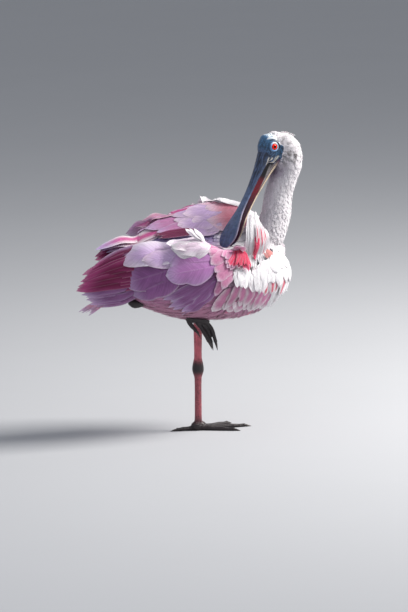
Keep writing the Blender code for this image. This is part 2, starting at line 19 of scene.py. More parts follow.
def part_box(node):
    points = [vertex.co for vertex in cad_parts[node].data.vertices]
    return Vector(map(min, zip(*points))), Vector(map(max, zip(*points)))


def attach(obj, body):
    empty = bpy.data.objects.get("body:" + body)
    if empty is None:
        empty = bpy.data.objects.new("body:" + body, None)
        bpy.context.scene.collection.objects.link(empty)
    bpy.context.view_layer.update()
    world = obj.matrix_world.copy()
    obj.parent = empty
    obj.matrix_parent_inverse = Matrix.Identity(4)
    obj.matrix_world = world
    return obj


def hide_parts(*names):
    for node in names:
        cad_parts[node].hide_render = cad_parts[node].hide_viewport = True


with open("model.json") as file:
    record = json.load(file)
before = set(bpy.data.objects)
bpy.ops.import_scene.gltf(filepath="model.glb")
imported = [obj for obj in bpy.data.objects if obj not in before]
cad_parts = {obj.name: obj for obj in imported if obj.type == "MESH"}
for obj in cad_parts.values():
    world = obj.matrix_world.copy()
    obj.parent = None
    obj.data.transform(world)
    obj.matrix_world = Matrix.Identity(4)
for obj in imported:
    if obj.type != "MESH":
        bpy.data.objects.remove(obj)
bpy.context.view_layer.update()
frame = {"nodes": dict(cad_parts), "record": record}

bl_info = {
    "name": "Roseate spoonbill looks",
    "version": (1, 0, 0),
    "blender": (4, 5, 0),
    "location": "3D View > Sidebar > Spoonbill",
    "description": "Skin, plumage, bill, eyes, legs and stage of a life-size roseate spoonbill",
    "category": "Object",
}

FLESH = ("trunk", "neck", "head", "wing_left", "wing_right", "thigh_left", "thigh_right")
LEG_LEFT = ("tibia_left", "ankle_left", "tarsus_left", "foot_left",
            "toe_inner_left", "toe_middle_left", "toe_outer_left", "toe_hind_left")
LEG_RIGHT = ("ankle_right", "foot_right",
             "toe_inner_right", "toe_middle_right", "toe_outer_right", "toe_hind_right")
TOES = ("inner", "middle", "outer", "hind")

# The head's own frame: midway between the eyes, along the bill, to the head's left and up
EYE_CENTRES = [sum(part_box(name), Vector()) / 2 for name in ("eye_left", "eye_right")]
HEAD_MIDDLE = np.array((EYE_CENTRES[0] + EYE_CENTRES[1]) / 2)
HEAD_LEFT = np.array((EYE_CENTRES[0] - EYE_CENTRES[1]).normalized())
BILL_AHEAD = np.array(Vector((-0.519, -0.174, -0.837)).normalized())
HEAD_UP = np.cross(BILL_AHEAD, HEAD_LEFT)
EYE_OFFSET = (EYE_CENTRES[0] - EYE_CENTRES[1]).length / 2
EYE_RADIUS = (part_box("eye_left")[1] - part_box("eye_left")[0]).z / 2

# The neck's middle line from breast to skull, with its radius, as in the solids
NECK_PATH = (
    (0.1090, 0.0010, 0.270, 0.0330),
    (0.1315, 0.0015, 0.317, 0.0290),
    (0.1485, 0.0010, 0.357, 0.0265),
    (0.1540, 0.0000, 0.393, 0.0245),
    (0.1630, -0.0040, 0.423, 0.0240),
    (0.1715, -0.0100, 0.451, 0.0240),
    (0.1670, -0.0130, 0.476, 0.0225),
    (0.1520, -0.0140, 0.486, 0.0185),
)

# Bill sections: place along, half width, middle height, half height. The upper base fills out to the face
UPPER_BILL = (
    (0.0040, 0.0150, -0.0010, 0.0115),
    (0.0160, 0.0148, -0.0012, 0.0108),
    (0.0330, 0.0122, -0.0026, 0.0083),
    (0.0580, 0.0096, -0.0040, 0.0056),
    (0.0900, 0.0083, -0.0050, 0.0036),
    (0.1200, 0.0105, -0.0048, 0.0032),
    (0.1400, 0.0168, -0.0046, 0.0029),
    (0.1600, 0.0232, -0.0050, 0.0027),
    (0.1740, 0.0236, -0.0058, 0.0025),
    (0.1850, 0.0165, -0.0070, 0.0021),
    (0.1895, 0.0070, -0.0080, 0.0015),
)
LOWER_BILL = (
    (0.0060, 0.0158, -0.0238, 0.0046),
    (0.0300, 0.0138, -0.0226, 0.0044),
    (0.0600, 0.0114, -0.0203, 0.0038),
    (0.0900, 0.0098, -0.0186, 0.0032),
    (0.1200, 0.0108, -0.0176, 0.0028),
    (0.1400, 0.0158, -0.0164, 0.0026),
    (0.1600, 0.0216, -0.0148, 0.0024),
    (0.1730, 0.0216, -0.0132, 0.0022),
    (0.1845, 0.0110, -0.0118, 0.0015),
)

# How much nearer to the upper half of the bill the lower one is than its solid
BILL_CLOSING = 0.0020
# Points along and round each half, and how full its sections are, where 2 is an ellipse
BILL_RINGS = 150
BILL_POINTS = 56
BILL_FULLNESS = 2.3

# Each pale stroke at the gape: start and end as distance along the bill and over the eye, and width
GAPE_STROKES = (
    ((0.0195, -0.0040), (0.0330, -0.0100), 0.0009),
    ((0.0175, -0.0088), (0.0400, -0.0150), 0.0013),
    ((0.0090, -0.0176), (0.0330, -0.0202), 0.0016),
    ((0.0120, -0.0135), (0.0240, -0.0175), 0.0007),
)

# Colours of small markings that are painted on skin and horn. Some are painted light: shade in the head's
# dimples, under the bill, on the rear of the neck, in the corner of the gape and deep in the mouth, and a
# highlight on the lids.
PAINT = {
    "dimple_shade": (0.10, 0.085, 0.090),
    "throat": (0.28, 0.21, 0.31),
    "nape": (0.60, 0.52, 0.60),
    "crown": (0.74, 0.78, 0.79),
    "lid highlight": (0.80, 0.84, 0.86),
    "inner lid": (0.02, 0.012, 0.012),
    "pale brow": (0.84, 0.88, 0.90),
    "gape": (0.86, 0.82, 0.72),
    "gape corner shade": (0.012, 0.006, 0.010),
    "shaft of the bill": (0.115, 0.165, 0.290),
    "rim of the spoon": (0.34, 0.26, 0.33),
    "nostril": (0.006, 0.006, 0.010),
    "lower bill": (0.115, 0.055, 0.120),
    "mouth": (0.60, 0.012, 0.045),
    "deep mouth shade": (0.010, 0.003, 0.006),
    "mouth band": (0.78, 0.70, 0.66),
    "mouth stripe": (0.98, 0.95, 0.88),
}

# Where the scales of the tucked foot are counted from
TUCKED_FOOT = np.array((-0.004, -0.024, 0.198))

# Side of the camera's sensor in millimetres, and the place that it looks at, right of the origin and above it
SENSOR = 36.0
AIM_RIGHT = 0.0156
AIM_UP = 0.2105

UP = np.array((0.0, 0.0, 1.0))
MILLIMETRE = 0.001
# How far solids are swollen before they are joined, and how finely the joined ones are made again
SWELL = 0.0004
BODY_VOXEL = 0.0023
LEG_VOXEL = 0.00075
# Faces that meet at more than this keep a crisp edge, as at the rim of a vane
RIM_ANGLE = math.radians(55.0)
# Side of the square that each feather fills on the skin's unwrap
PATCH = 0.003

# Height of the small coat over the skin, and how near to the skin a large feather lies on that coat and how
# far from it the feather stands free
COAT_TOP = 0.0052
PRESS_NEAR = 0.012
PRESS_FAR = 0.026
# Rings along a large feather and its half thickness at the root
QUILL_RINGS = 26
QUILL_THICKNESS = 0.00030
# How far the edges hang under the middle, as a share of the width, and how far each feather is turned
QUILL_CUP = 0.025
QUILL_TWIST = 0.06
# Places from edge to edge along the top of a large feather. Those between the edges come again underneath
QUILL_TOP = np.array((-1.0, -0.62, -0.24, 0.0, 0.24, 0.62, 1.0))
QUILL_ROUND = np.concatenate([QUILL_TOP, QUILL_TOP[-2:0:-1]])
# How far roots and tips of large feathers stray, and how much every second one is raised over the last
QUILL_STRAY = 0.0012
QUILL_STEP = 0.0007

# Each tract of small feathers: spacing, height of the tips over the skin, how free the tips are,
# length, width, pointedness and paleness of the rim, and barbs from root to tip
Tract = namedtuple("Tract", "name slot spacing height free length width point rim barbs")
TRACTS = (
    Tract("head", "white_plumage", 0.0018, 0.0022, 0.45, (0.0050, 0.0095), (0.0038, 0.0054), 0.35, 0.3, 10.0),
    Tract("neck", "white_plumage", 0.0029, 0.0030, 0.35, (0.0120, 0.0150), (0.0070, 0.0084), 0.35, 0.3, 16.0),
    Tract("breast", "white_plumage", 0.0062, 0.0060, 0.12, (0.030, 0.042), (0.015, 0.017), 0.45, 0.3, 24.0),
    Tract("back", "pink_plumage", 0.0080, 0.0050, 0.05, (0.0320, 0.0380), (0.0180, 0.0210), 0.20, 0.3, 30.0),
    Tract("flank", "pink_plumage", 0.0072, 0.0050, 0.05, (0.0360, 0.0440), (0.0170, 0.0200), 0.35, 0.3, 30.0),
    Tract("belly", "pink_plumage", 0.0058, 0.0054, 0.06, (0.0480, 0.0640), (0.0110, 0.0140), 0.55, 0.3, 30.0),
)
# Small feathers come in three forms: how much more pointed, how curled and how cupped each one is
SMALL_FORMS = ((0.0, 0.0, 0.05), (0.12, 0.01, 0.07), (-0.12, 0.0, 0.03))

# Colours of middle, edge and tip by the names of the plumage colours, how far the edge tells,
# how wide the middle is, where the tip's colour begins and how many of the narrow middles show
Style = namedtuple("Style", "core edge tip share spread fade streaks", defaults=(0.6, 1.0, 0.7, 1.0))
STYLES = {
    "dark": Style("magenta", "rose", "magenta", 0.25),
    "magenta": Style("magenta", "rose", "rose", 0.55),
    "rimmed": Style("magenta", "lilac", "rose", 0.80),
    # Painted shade: the tips of rose feathers in violet shade.
    "rose": Style("rose", "white", "violet_shade", 0.70, 1.2, 0.70),
    # Painted shade: the tips of fringed feathers in bluish shade.
    "fringed": Style("rose", "white", "periwinkle_shade", 0.90, 0.8, 0.60),
    # Painted shade: low wing feathers in violet shade.
    "violet_shade": Style("violet_shade", "lilac", "lilac", 0.45),
    "lilac": Style("lilac", "pearl", "pearl"),
    "pale": Style("lilac", "white", "pearl", 0.75),
    "pink": Style("pink", "lilac", "lilac", 0.40),
    "heather": Style("heather", "lilac", "lilac", 0.45),
    # Painted shade in the middles: heather in shade.
    "purple": Style("heather_in_shade", "heather", "lilac", 0.50),
    "shell": Style("petal", "pearl", "pearl", 0.45, 1.0, 0.80),
    "white": Style("pearl", "white", "white", 0.85, 0.8),
    "plume": Style("petal", "white", "white", 0.80, 1.1, 0.65),
    "snow": Style("white", "white", "white", 0.50),
    "tipped": Style("carmine", "white", "white", 1.00, 0.42, 0.85, 0.62),
    "streaked": Style("carmine", "white", "white", 1.00, 0.55),
    "red": Style("carmine", "petal", "pearl", 0.60, 0.9, 0.85),
    "ember": Style("carmine", "salmon", "carmine", 0.40, 0.8),
    "rump": Style("salmon", "rose", "lilac", 0.45, 1.0, 0.66),
    "patch": Style("orange", "orange", "orange", 0.10),
    "salmon": Style("salmon", "pearl", "pearl", 0.25, 1.0, 0.50),
}

# Large feathers, laid as fans from a first to a last one on the body's surface, in millimetres.
# They go by the solid that they replace, while those of breast and crest replace none.
# roots, tips: places of the first and the last; width: of the widest; rise: height over the body at
# root and tip; style: colours; ragged: how torn; facing: the way that the flat side looks;
# arch: how far the first and the last one bow upwards
Fan = namedtuple("Fan", "count roots tips width rise style ragged facing arch", defaults=((0, 0),))
FANS = {
    # Right wing, from the underlying flight feathers to the coverts on top
    "primaries_right": (
        Fan(6, ((-100, -47, 262), (-85, -42, 243)), ((-213, -29, 250), (-192, -26, 226)), 13, (0, 1),
            "violet_shade", 0.2, (0.2, -1, 0)),
        Fan(4, ((-70, -46, 322), (-70, -46, 312)), ((-186, -37, 296), (-206, -32, 280)), 18, (0, 1),
            "rimmed", 0.5, (0.2, -1, 0.3), (12, 8)),
        Fan(9, ((-70, -50, 314), (-70, -50, 268)), ((-204, -33, 282), (-215, -30, 254)), 21, (2, 4),
            "magenta", 0.3, (0.2, -1, 0.1), (8, 1)),
    ),
    "tertials_right": (
        Fan(7, ((22, -74, 262), (10, -76, 280)), ((-34, -38, 208), (-84, -50, 240)), 20, (0, 1), "violet_shade",
            0.3, (0, -1, -0.2)),
        Fan(2, ((-40, -67, 282), (-42, -68, 292)), ((-124, -36, 244), (-139, -43, 266)), 56, (4, 6),
            "purple", 0.2, (0.15, -1, 0.1)),
        Fan(1, ((-34, -62, 316), (-34, -62, 316)), ((-147, -45, 303), (-147, -45, 303)), 46, (4, 6), "pale",
            0.1, (0.1, -0.9, 0.4), (6, 6)),
        Fan(2, ((-30, -66, 312), (-30, -68, 306)), ((-112, -52, 312), (-109, -58, 304)), 34, (5, 7),
            "lilac", 0.6, (0.1, -0.9, 0.35)),
        Fan(2, ((20, -68, 300), (16, -71, 290)), ((-60, -67, 292), (-70, -67, 276)), 54, (6, 8), "heather",
            0.2, (0.1, -1, 0.25)),
        Fan(5, ((10, -60, 325), (6, -67, 314)), ((-66, -56, 332), (-56, -64, 312)), 26, (7, 9), "white",
            0.9, (0.1, -0.85, 0.5)),
        Fan(3, ((40, -60, 308), (46, -62, 302)), ((0, -64, 322), (6, -69, 302)), 24, (3, 7), "shell", 0.2,
            (0.1, -1, 0.3)),
        Fan(4, ((46, -70, 280), (48, -64, 306)), ((21, -77, 250), (6, -71, 290)), 23, (4, 8), "shell", 0.2,
            (0.1, -1, 0.2), (3, 5)),
        Fan(1, ((30, -75, 276), (30, -75, 276)), ((10.5, -75, 238), (10.5, -75, 238)), 17, (3, 4), "shell",
            0.1, (0, -1, 0)),
        Fan(5, ((58, -52, 308), (62, -54, 308)), ((22, -68, 304), (36, -72, 276)), 13, (5, 9), "shell", 0.2,
            (0.1, -1, 0.3)),
        Fan(12, ((62, -54, 309), (68, -56, 309)), ((30, -71, 288), (72, -68, 272)), 8, (6, 10), "red", 0.2,
            (0.1, -1, 0.3)),
        Fan(9, ((63, -55, 309), (70, -58, 308)), ((44, -71, 284), (74, -66, 280)), 5.5, (9, 13), "ember",
            0.2, (0.1, -1, 0.3)),
        # A curled tuft over the bill's tip and the tuft behind it
        Fan(4, ((56, -50, 304), (62, -56, 304)), ((52, -74, 322), (66, -76, 318)), 13, (6, 22), "shell",
            0.2, (0, -0.9, -0.4)),
        Fan(3, ((0, -62, 320), (6, -62, 320)), ((-32, -60, 349), (-18, -60, 345)), 10, (3, 26), "snow", 0.3,
            (0.3, -0.8, 0.6)),
    ),
    # Right shoulder, raised by the bill
    "shoulder_right": (
        Fan(8, ((92, -61, 282), (124, -52, 288)), ((95, -52, 372), (119, -45, 330)), 15, (0, 0), "snow",
            0.5, (0.3, -1, 0.1)),
        Fan(8, ((70, -67, 282), (90, -64, 276)), ((82, -57, 380), (93, -54, 378)), 12, (1, 1), "snow", 0.5,
            (0.3, -1, 0.1)),
        Fan(6, ((90, -69.5, 288), (114, -60, 300)), ((93, -61, 368), (108, -56.5, 350)), 6, (3, 3),
            "streaked", 0.9, (0.3, -1, 0.1)),
        Fan(3, ((88, -71, 298), (92, -70, 294)), ((90.5, -65, 334), (96, -63, 342)), 5, (4, 4), "ember",
            0.9, (0.3, -1, 0.1)),
        Fan(3, ((114, -52, 314), (126, -47, 308)), ((111, -56, 294), (122, -50, 292)), 11, (3, 4), "patch",
            0.3, (0.3, -1, 0.1)),
    ),
    # Ruffled tuft behind the crown, with its places in the head's own frame
    "crest": (
        Fan(5, ((-25.5, 9, -11), (-25.5, -9, -12)), ((-33.5, 9, -34), (-33.5, -8, -39)), 10, (-4, 3.5),
            "snow", 0.4, (0.6, 0, 0.8)),
    ),
    # Breast, from the pointed feathers low down to the broad ones at the root of the neck
    "breast": (
        Fan(8, ((40, -70, 252), (122, -54, 246)), ((14, -56, 211), (104, -34, 202)), 24, (0, 3), "plume",
            0.3, (0.3, -0.9, -0.3)),
        Fan(10, ((54, -69, 283), (102, -62, 278)), ((46, -70, 252), (96, -61, 240)), 17, (4, 8), "snow",
            1.2, (0.3, -0.95, 0.1)),
        Fan(7, ((56, -69, 264), (112, -58, 258)), ((34, -62, 216), (94, -44, 209)), 17, (3, 5), "plume",
            0.5, (0.3, -0.95, -0.2)),
        Fan(11, ((84, -60, 262), (150, -4, 262)), ((70, -55, 212), (150, -4, 205)), 15, (0, 3), "tipped",
            0.2, (0.6, -0.7, -0.3)),
        Fan(11, ((150, 4, 262), (84, 60, 262)), ((150, 4, 205), (70, 55, 212)), 15, (0, 3), "tipped", 0.2,
            (0.6, 0.7, -0.3)),
        Fan(10, ((88, -60, 282), (154, -4, 280)), ((82, -64, 238), (166, -5, 228)), 19, (2, 5), "tipped",
            0.2, (0.6, -0.7, 0)),
        Fan(10, ((154, 4, 280), (88, 60, 282)), ((166, 5, 228), (82, 64, 238)), 19, (2, 5), "tipped", 0.2,
            (0.6, 0.7, 0)),
        Fan(8, ((96, -56, 288), (142, -4, 294)), ((92, -64, 250), (171, -6, 252)), 26, (3, 6), "snow", 0.2,
            (0.6, -0.7, 0.3)),
        Fan(8, ((142, 4, 296), (94, 52, 296)), ((171, 6, 252), (96, 64, 256)), 26, (3, 6), "snow", 0.2,
            (0.6, 0.7, 0.3)),
        Fan(6, ((112, -50, 291), (138, -4, 303)), ((112, -62, 264), (166, -6, 272)), 26, (4, 6), "snow",
            0.2, (0.6, -0.7, 0.5)),
        Fan(6, ((138, 4, 306), (104, 46, 304)), ((166, 6, 272), (112, 62, 276)), 26, (4, 6), "snow", 0.2,
            (0.6, 0.7, 0.5)),
    ),
    # Left wing
    "primaries_left": (
        Fan(8, ((-56, 51, 338), (-56, 54, 280)), ((-164, 22, 316), (-187, 26, 250)), 23, (1, 2), "magenta",
            0.4, (0.1, 0.95, 0.3)),
        Fan(4, ((-90, 46, 262), (-80, 42, 243)), ((-183, 28, 248), (-168, 26, 230)), 16, (0, 1), "violet_shade",
            0.2, (0.1, 1, 0)),
        Fan(3, ((-30, 40, 347.5), (-36, 28, 338)), ((-168, 20, 318), (-150, 29, 310)), 22, (1, 2),
            "fringed", 0.9, (0, -0.5, 0.9)),
    ),
    "tertials_left": (
        Fan(4, ((10, 68, 366), (6, 76, 320)), ((-100, 61, 336), (-118, 62, 286)), 40, (1, 3), "pink", 0.4,
            (0.1, 0.95, 0.3)),
        Fan(4, ((-4, 74, 300), (4, 72, 252)), ((-112, 50, 268), (-84, 40, 226)), 42, (1, 2), "purple", 0.4,
            (0.1, 1, 0)),
        Fan(2, ((20, 50, 368), (26, 44, 361)), ((-84, 54, 341), (-70, 44, 341)), 26, (2, 4), "pink", 0.4,
            (0, -0.3, 1)),
        Fan(2, ((26, 60, 376), (26, 54, 371)), ((-94, 64, 343), (-86, 52, 346)), 17, (4, 7), "rose", 0.3,
            (0, -0.3, 1), (6, 3)),
        Fan(3, ((42, 36, 351.5), (46, 26, 343)), ((-66.5, 37, 342), (-43, 22, 332)), 24, (3, 5), "pink",
            0.4, (0, -0.5, 1)),
        Fan(4, ((20, 27, 339), (14, 20, 332)), ((-70, 28, 331), (-60, 18, 326)), 12, (4, 6), "dark", 0.3,
            (0, -0.6, 1)),
        Fan(4, ((60, 24, 341), (64, 46, 368)), ((-22, 24, 336), (-34, 50, 362)), 30, (4, 5), "lilac", 0.4,
            (0, -0.5, 1)),
        Fan(5, ((96, 28, 348), (96, 52, 374)), ((6, 28, 346), (-8, 54, 374)), 34, (4, 5), "lilac", 0.6,
            (0, -0.5, 1)),
        Fan(5, ((114, 54, 374), (110, 26, 344)), ((26, 56, 378), (34, 28, 344)), 36, (5, 5), "salmon", 0.4,
            (0, -0.5, 1)),
        Fan(5, ((58, 74, 360), (56, 80, 292)), ((8, 76, 354), (4, 83, 280)), 34, (2, 4), "shell", 0.5,
            (0.1, 1, 0.2)),
        Fan(6, ((84, 70, 372), (88, 72, 292)), ((40, 78, 362), (40, 82, 282)), 24, (3, 5), "red", 0.5,
            (0.1, 1, 0.3)),
    ),
    "shoulder_left": (
        Fan(5, ((92, 66, 374), (106, 56, 372)), ((8, 70, 383), (22, 70, 388)), 18, (4, 12), "white", 0.4,
            (0.3, -0.5, 0.8)),
        Fan(5, ((104, 64, 372), (120, 50, 362)), ((28, 72, 392), (52, 60, 386)), 20, (5, 12), "snow", 0.4,
            (0.3, -0.4, 0.9)),
    ),
    # Tail
    "tail": (
        Fan(12, ((-108, 10, 252), (-108, -10, 252)), ((-196, 30, 213.5), (-196, -30, 213.5)), 19, (0, 0),
            "rump", 0.3, (-0.35, 0, 0.94)),
        Fan(6, ((-104, 14, 246), (-104, -14, 246)), ((-150, 18, 227), (-150, -18, 227)), 16, (1, 1),
            "salmon", 0.4, (0.35, 0, -0.94)),
        Fan(6, ((-100, 14, 262), (-100, -14, 262)), ((-146, 18, 242), (-146, -18, 242)), 16, (1, 1),
            "salmon", 0.4, (-0.35, 0, 0.94)),
    ),
}


def unit(vectors):
    """Vectors of length one, along the last axis."""
    length = np.linalg.norm(vectors, axis=-1, keepdims=True)
    return vectors / np.maximum(length, 1e-12)


def ease(low, high, values):
    """0 at low, 1 at high and smooth between, whichever is the larger."""
    t = np.clip((values - low) / (high - low), 0.0, 1.0)
    return t * t * (3.0 - 2.0 * t)


def bell(values, middle, width):
    """1 at the middle, and down to a third at this width from it."""
    return np.exp(-((values - middle) / width) ** 2)


def mix(first, second, share):
    """Between two colours or vectors, row by row."""
    share = np.asarray(share, float)[..., None]
    return np.asarray(first, float) * (1.0 - share) + np.asarray(second, float) * share


def between(values, t):
    """A smooth curve through evenly numbered rows (Catmull and Rom), at each t from 0 to 1."""
    values = np.asarray(values, float)
    last = len(values) - 1
    place = np.clip(np.atleast_1d(t), 0.0, 1.0) * last
    first = np.minimum(place.astype(int), last - 1)
    u = (place - first)[:, None]
    a, b, c, d = (values[np.clip(first + k, 0, last)] for k in (-1, 0, 1, 2))
    return b + 0.5 * u * (c - a + u * (2 * a - 5 * b + 4 * c - d + u * (3 * (b - c) + d - a)))


def cloud(points, scale, shift=0.0):
    """Smooth noise from 0 to 1 at each point, with about scale lumps to the metre."""
    rows = np.asarray(points) * scale + shift
    return 0.5 + 0.5 * np.array([value_noise.noise(row) for row in rows.tolist()])


def points_of(mesh):
    """A mesh's vertices as rows."""
    rows = np.empty(len(mesh.vertices) * 3)
    mesh.vertices.foreach_get("co", rows)
    return rows.reshape(-1, 3)


def normals_of(mesh):
    """A mesh's vertex normals as rows."""
    rows = np.empty(len(mesh.vertices) * 3)
    mesh.vertices.foreach_get("normal", rows)
    return rows.reshape(-1, 3)


def move_points(mesh, points):
    """Puts the vertices at these rows."""
    mesh.vertices.foreach_set("co", np.asarray(points, np.float32).ravel())
    mesh.update()


def edges_of(mesh):
    """A mesh's edges as pairs of vertex numbers."""
    pairs = np.empty(len(mesh.edges) * 2, np.int64)
    mesh.edges.foreach_get("vertices", pairs)
    return pairs.reshape(-1, 2)


def smoothed(points, edges, rounds, share=0.5):
    """Each point drawn towards the mean of its neighbours. share may differ from point to point."""
    count = len(points)
    share = np.broadcast_to(np.asarray(share, float).reshape(-1, 1), (count, 1))
    near = np.maximum(np.bincount(edges.ravel(), minlength=count), 1)[:, None]
    a, b = edges[:, 0], edges[:, 1]
    for _ in range(rounds):
        total = np.empty_like(points)
        for axis in range(points.shape[1]):
            total[:, axis] = np.bincount(a, points[b, axis], count) + np.bincount(b, points[a, axis], count)
        points = points + share * (total / near - points)
    return points


def store(mesh, name, kind, rows):
    """Writes one attribute of the vertices. Colours get an alpha of 1."""
    rows = np.asarray(rows, np.float32)
    if kind == "FLOAT_COLOR":
        rows = np.concatenate([rows, np.ones((len(rows), 1), np.float32)], axis=1)
    field = {"FLOAT": "value", "FLOAT_COLOR": "color", "FLOAT_VECTOR": "vector"}[kind]
    made = mesh.attributes.get(name) or mesh.attributes.new(name, kind, "POINT")
    made.data.foreach_set(field, rows.ravel())


def lay_out(mesh, name, rows):
    """A UV map with one row for each vertex."""
    corners = np.empty(len(mesh.loops), np.int64)
    mesh.loops.foreach_get("vertex_index", corners)
    layer = mesh.uv_layers.new(name=name)
    layer.data.foreach_set("uv", rows[corners].astype(np.float32).ravel())


def new_object(name, mesh, material, crisp=False):
    """An object at the origin, smooth all over, or with crisp rims."""
    made = bpy.data.objects.new(name, mesh)
    bpy.context.scene.collection.objects.link(made)
    mesh.materials.clear()
    mesh.materials.append(material)
    mesh.shade_smooth()
    if crisp:
        mesh.set_sharp_from_angle(angle=RIM_ANGLE)
    return made


def settle(piece, slot, *nodes):
    """Hangs a finished piece under the root and hides the solids that it replaces."""
    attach(piece, "root")
    if nodes:
        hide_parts(*nodes)
    return piece


def evaluated_mesh(item):
    """The mesh that an object shows."""
    bpy.context.view_layer.update()
    graph = bpy.context.evaluated_depsgraph_get()
    return bpy.data.meshes.new_from_object(item.evaluated_get(graph))


def discard(item):
    """Removes an object and its mesh."""
    data = item.data
    bpy.data.objects.remove(item)
    if data and data.users == 0:
        bpy.data.meshes.remove(data)


def poured(shape, mesh):
    """The mesh with a bmesh's shape, which is used up."""
    shape.to_mesh(mesh)
    shape.free()
    return mesh


def shape_of(mesh):
    """A bmesh of a mesh."""
    shape = bmesh.new()
    shape.from_mesh(mesh)
    return shape


def face_outward(mesh):
    """Turns every face of a closed mesh outward."""
    shape = shape_of(mesh)
    bmesh.ops.recalc_face_normals(shape, faces=shape.faces)
    return poured(shape, mesh)


def joined_nodes(names, swell=0.0):
    """Merged copies of CAD nodes in one mesh, swollen so that neighbours overlap."""
    whole = bmesh.new()
    for name in names:
        part = shape_of(frame["nodes"][name].data)
        bmesh.ops.remove_doubles(part, verts=part.verts, dist=0.00001)
        part.normal_update()
        moved = [(v, v.co + v.normal * swell) for v in part.verts]
        for vert, place in moved:
            vert.co = place
        mesh = poured(part, bpy.data.meshes.new(name + "_copy"))
        whole.from_mesh(mesh)
        bpy.data.meshes.remove(mesh)
    return poured(whole, bpy.data.meshes.new("joined"))


def voxelled(mesh, size):
    """One closed surface over overlapping shells."""
    carrier = bpy.data.objects.new("carrier", mesh)
    bpy.context.scene.collection.objects.link(carrier)
    step = carrier.modifiers.new("voxels", "REMESH")
    step.mode = "VOXEL"
    step.voxel_size = size
    made = evaluated_mesh(carrier)
    discard(carrier)
    return made


def search_tree(mesh):
    """A search tree over a mesh."""
    return BVHTree.FromPolygons(
        [v.co[:] for v in mesh.vertices], [tuple(p.vertices) for p in mesh.polygons])


def tube_faces(count, size, start=0):
    """Faces of a tube of rings whose points are numbered from start, closed at both ends."""
    k = np.arange(size)
    faces = []
    for row in range(count - 1):
        a = start + row * size + k
        b = start + row * size + (k + 1) % size
        faces.extend(np.stack([a, b, b + size, a + size], axis=1).tolist())
    faces.append((start + k[::-1]).tolist())
    faces.append((start + (count - 1) * size + k).tolist())
    return faces


def ring_mesh(name, rings):
    """A loft through rings of points, closed at both ends, with normals outward."""
    rings = np.asarray(rings, float)
    mesh = bpy.data.meshes.new(name)
    mesh.from_pydata(rings.reshape(-1, 3).tolist(), [], tube_faces(*rings.shape[:2]))
    return face_outward(mesh)


def in_head(points):
    """Points in the head's frame: along the bill, to the left and up."""
    rel = np.asarray(points) - HEAD_MIDDLE
    return rel @ BILL_AHEAD, rel @ HEAD_LEFT, rel @ HEAD_UP


def from_head(along, left, up):
    """World points from the head's frame."""
    along, left, up = (np.asarray(v, float)[..., None] for v in (along, left, up))
    return HEAD_MIDDLE + along * BILL_AHEAD + left * HEAD_LEFT + up * HEAD_UP


def from_eyes(points):
    """Each point's distance from the middle between the eyes."""
    return np.linalg.norm(points - HEAD_MIDDLE, axis=1)


def neck_place(points):
    """For each point: distance to the neck's middle line over its radius, place along it, and way down."""
    t = np.linspace(0.0, 1.0, 71)
    line = between(NECK_PATH, t)
    way = unit(np.gradient(-line[:, :3], axis=0))
    gap = np.linalg.norm(points[:, None, :] - line[None, :, :3], axis=2)
    ratio = gap / line[None, :, 3]
    nearest = ratio.argmin(axis=1)
    rows = np.arange(len(points))
    return ratio[rows, nearest], t[nearest], way[nearest]


def bare_face(points):
    """1 on the bare skin of the face, 0 in the feathers. The edge runs behind the eyes and over the crown."""
    along, side, up = in_head(points)
    edge = -0.009 - 0.013 * ease(-0.008, 0.010, up) + 0.016 * ease(-0.012, -0.024, up)
    edge = edge + 0.0012 * np.sin(up * 1300.0 + side * 500.0) * ease(-0.010, 0.0, up)
    edge = edge + 0.030 * ease(-0.0238, -0.0262, up)
    near = 1.0 - ease(0.040, 0.055, from_eyes(points))
    return ease(-0.0012, 0.0012, along - edge) * near


def colour_field(name, description, default):
    """A setting for a colour."""
    return FloatVectorProperty(name=name, description=description, default=default, subtype="COLOR")


def length_field(name, description, default):
    """A setting for a length in metres."""
    return FloatProperty(name=name, description=description, default=default, unit="LENGTH")


def angle_field(name, description, degrees):
    """A setting for an angle."""
    return FloatProperty(name=name, description=description, default=math.radians(degrees), subtype="ANGLE")


class SpoonbillPlumage(bpy.types.PropertyGroup):
    """Sizes and colours of the feathers."""

    coat_depth: length_field("Coat depth", "How far the body's skin lies under the feather tips", 0.0055)
    neck_coat_depth: length_field("Neck coat depth", "How far the neck's skin lies under feathers", 0.0026)
    head_coat_depth: length_field("Head coat depth", "How far the crown's skin lies under feathers", 0.0016)
    white: colour_field("White", "Head, neck and breast", (0.90, 0.85, 0.89))
    # Lilac is partly the wing feathers' own pale colour and partly painted bluish shade.
    lilac: colour_field("Lilac", "Pale feathers of the wings", (0.54, 0.36, 0.62))
    pink: colour_field("Pink", "Flanks and wing coverts", (0.50, 0.19, 0.38))
    petal: colour_field("Petal", "Curled pink feathers under the bill", (0.58, 0.20, 0.36))
    mauve: colour_field("Mauve", "Belly", (0.46, 0.19, 0.30))
    heather: colour_field("Heather", "Large rounded feathers high on the wings", (0.44, 0.185, 0.44))
    # Painted shade: the low wing feathers' pink darkened to violet, as in shade.
    violet_shade: colour_field("Violet", "Lower wing feathers", (0.24, 0.085, 0.24))
    pearl: colour_field("Pearl", "Palest pink of wings and shoulders", (0.80, 0.60, 0.75))
    # Painted shade: heather darkened, for the same feathers low on the wings.
    heather_in_shade: colour_field("Orchid", "Large rounded feathers low on the wings", (0.28, 0.10, 0.29))
    rose: colour_field("Rose", "Feathers inside the far wing", (0.50, 0.07, 0.24))
    magenta: colour_field("Magenta", "Primary feathers", (0.14, 0.005, 0.050))
    carmine: colour_field("Carmine", "Shoulder streaks", (0.72, 0.03, 0.10))
    # Painted shade: the pale back between the wings, in bluish shade.
    periwinkle_shade: colour_field("Periwinkle", "Back between the wings", (0.44, 0.35, 0.66))
    orange: colour_field("Orange", "Patch in front of the shoulder", (0.60, 0.20, 0.19))
    salmon: colour_field("Salmon", "Tail, rump and inner shoulder", (0.62, 0.19, 0.26))


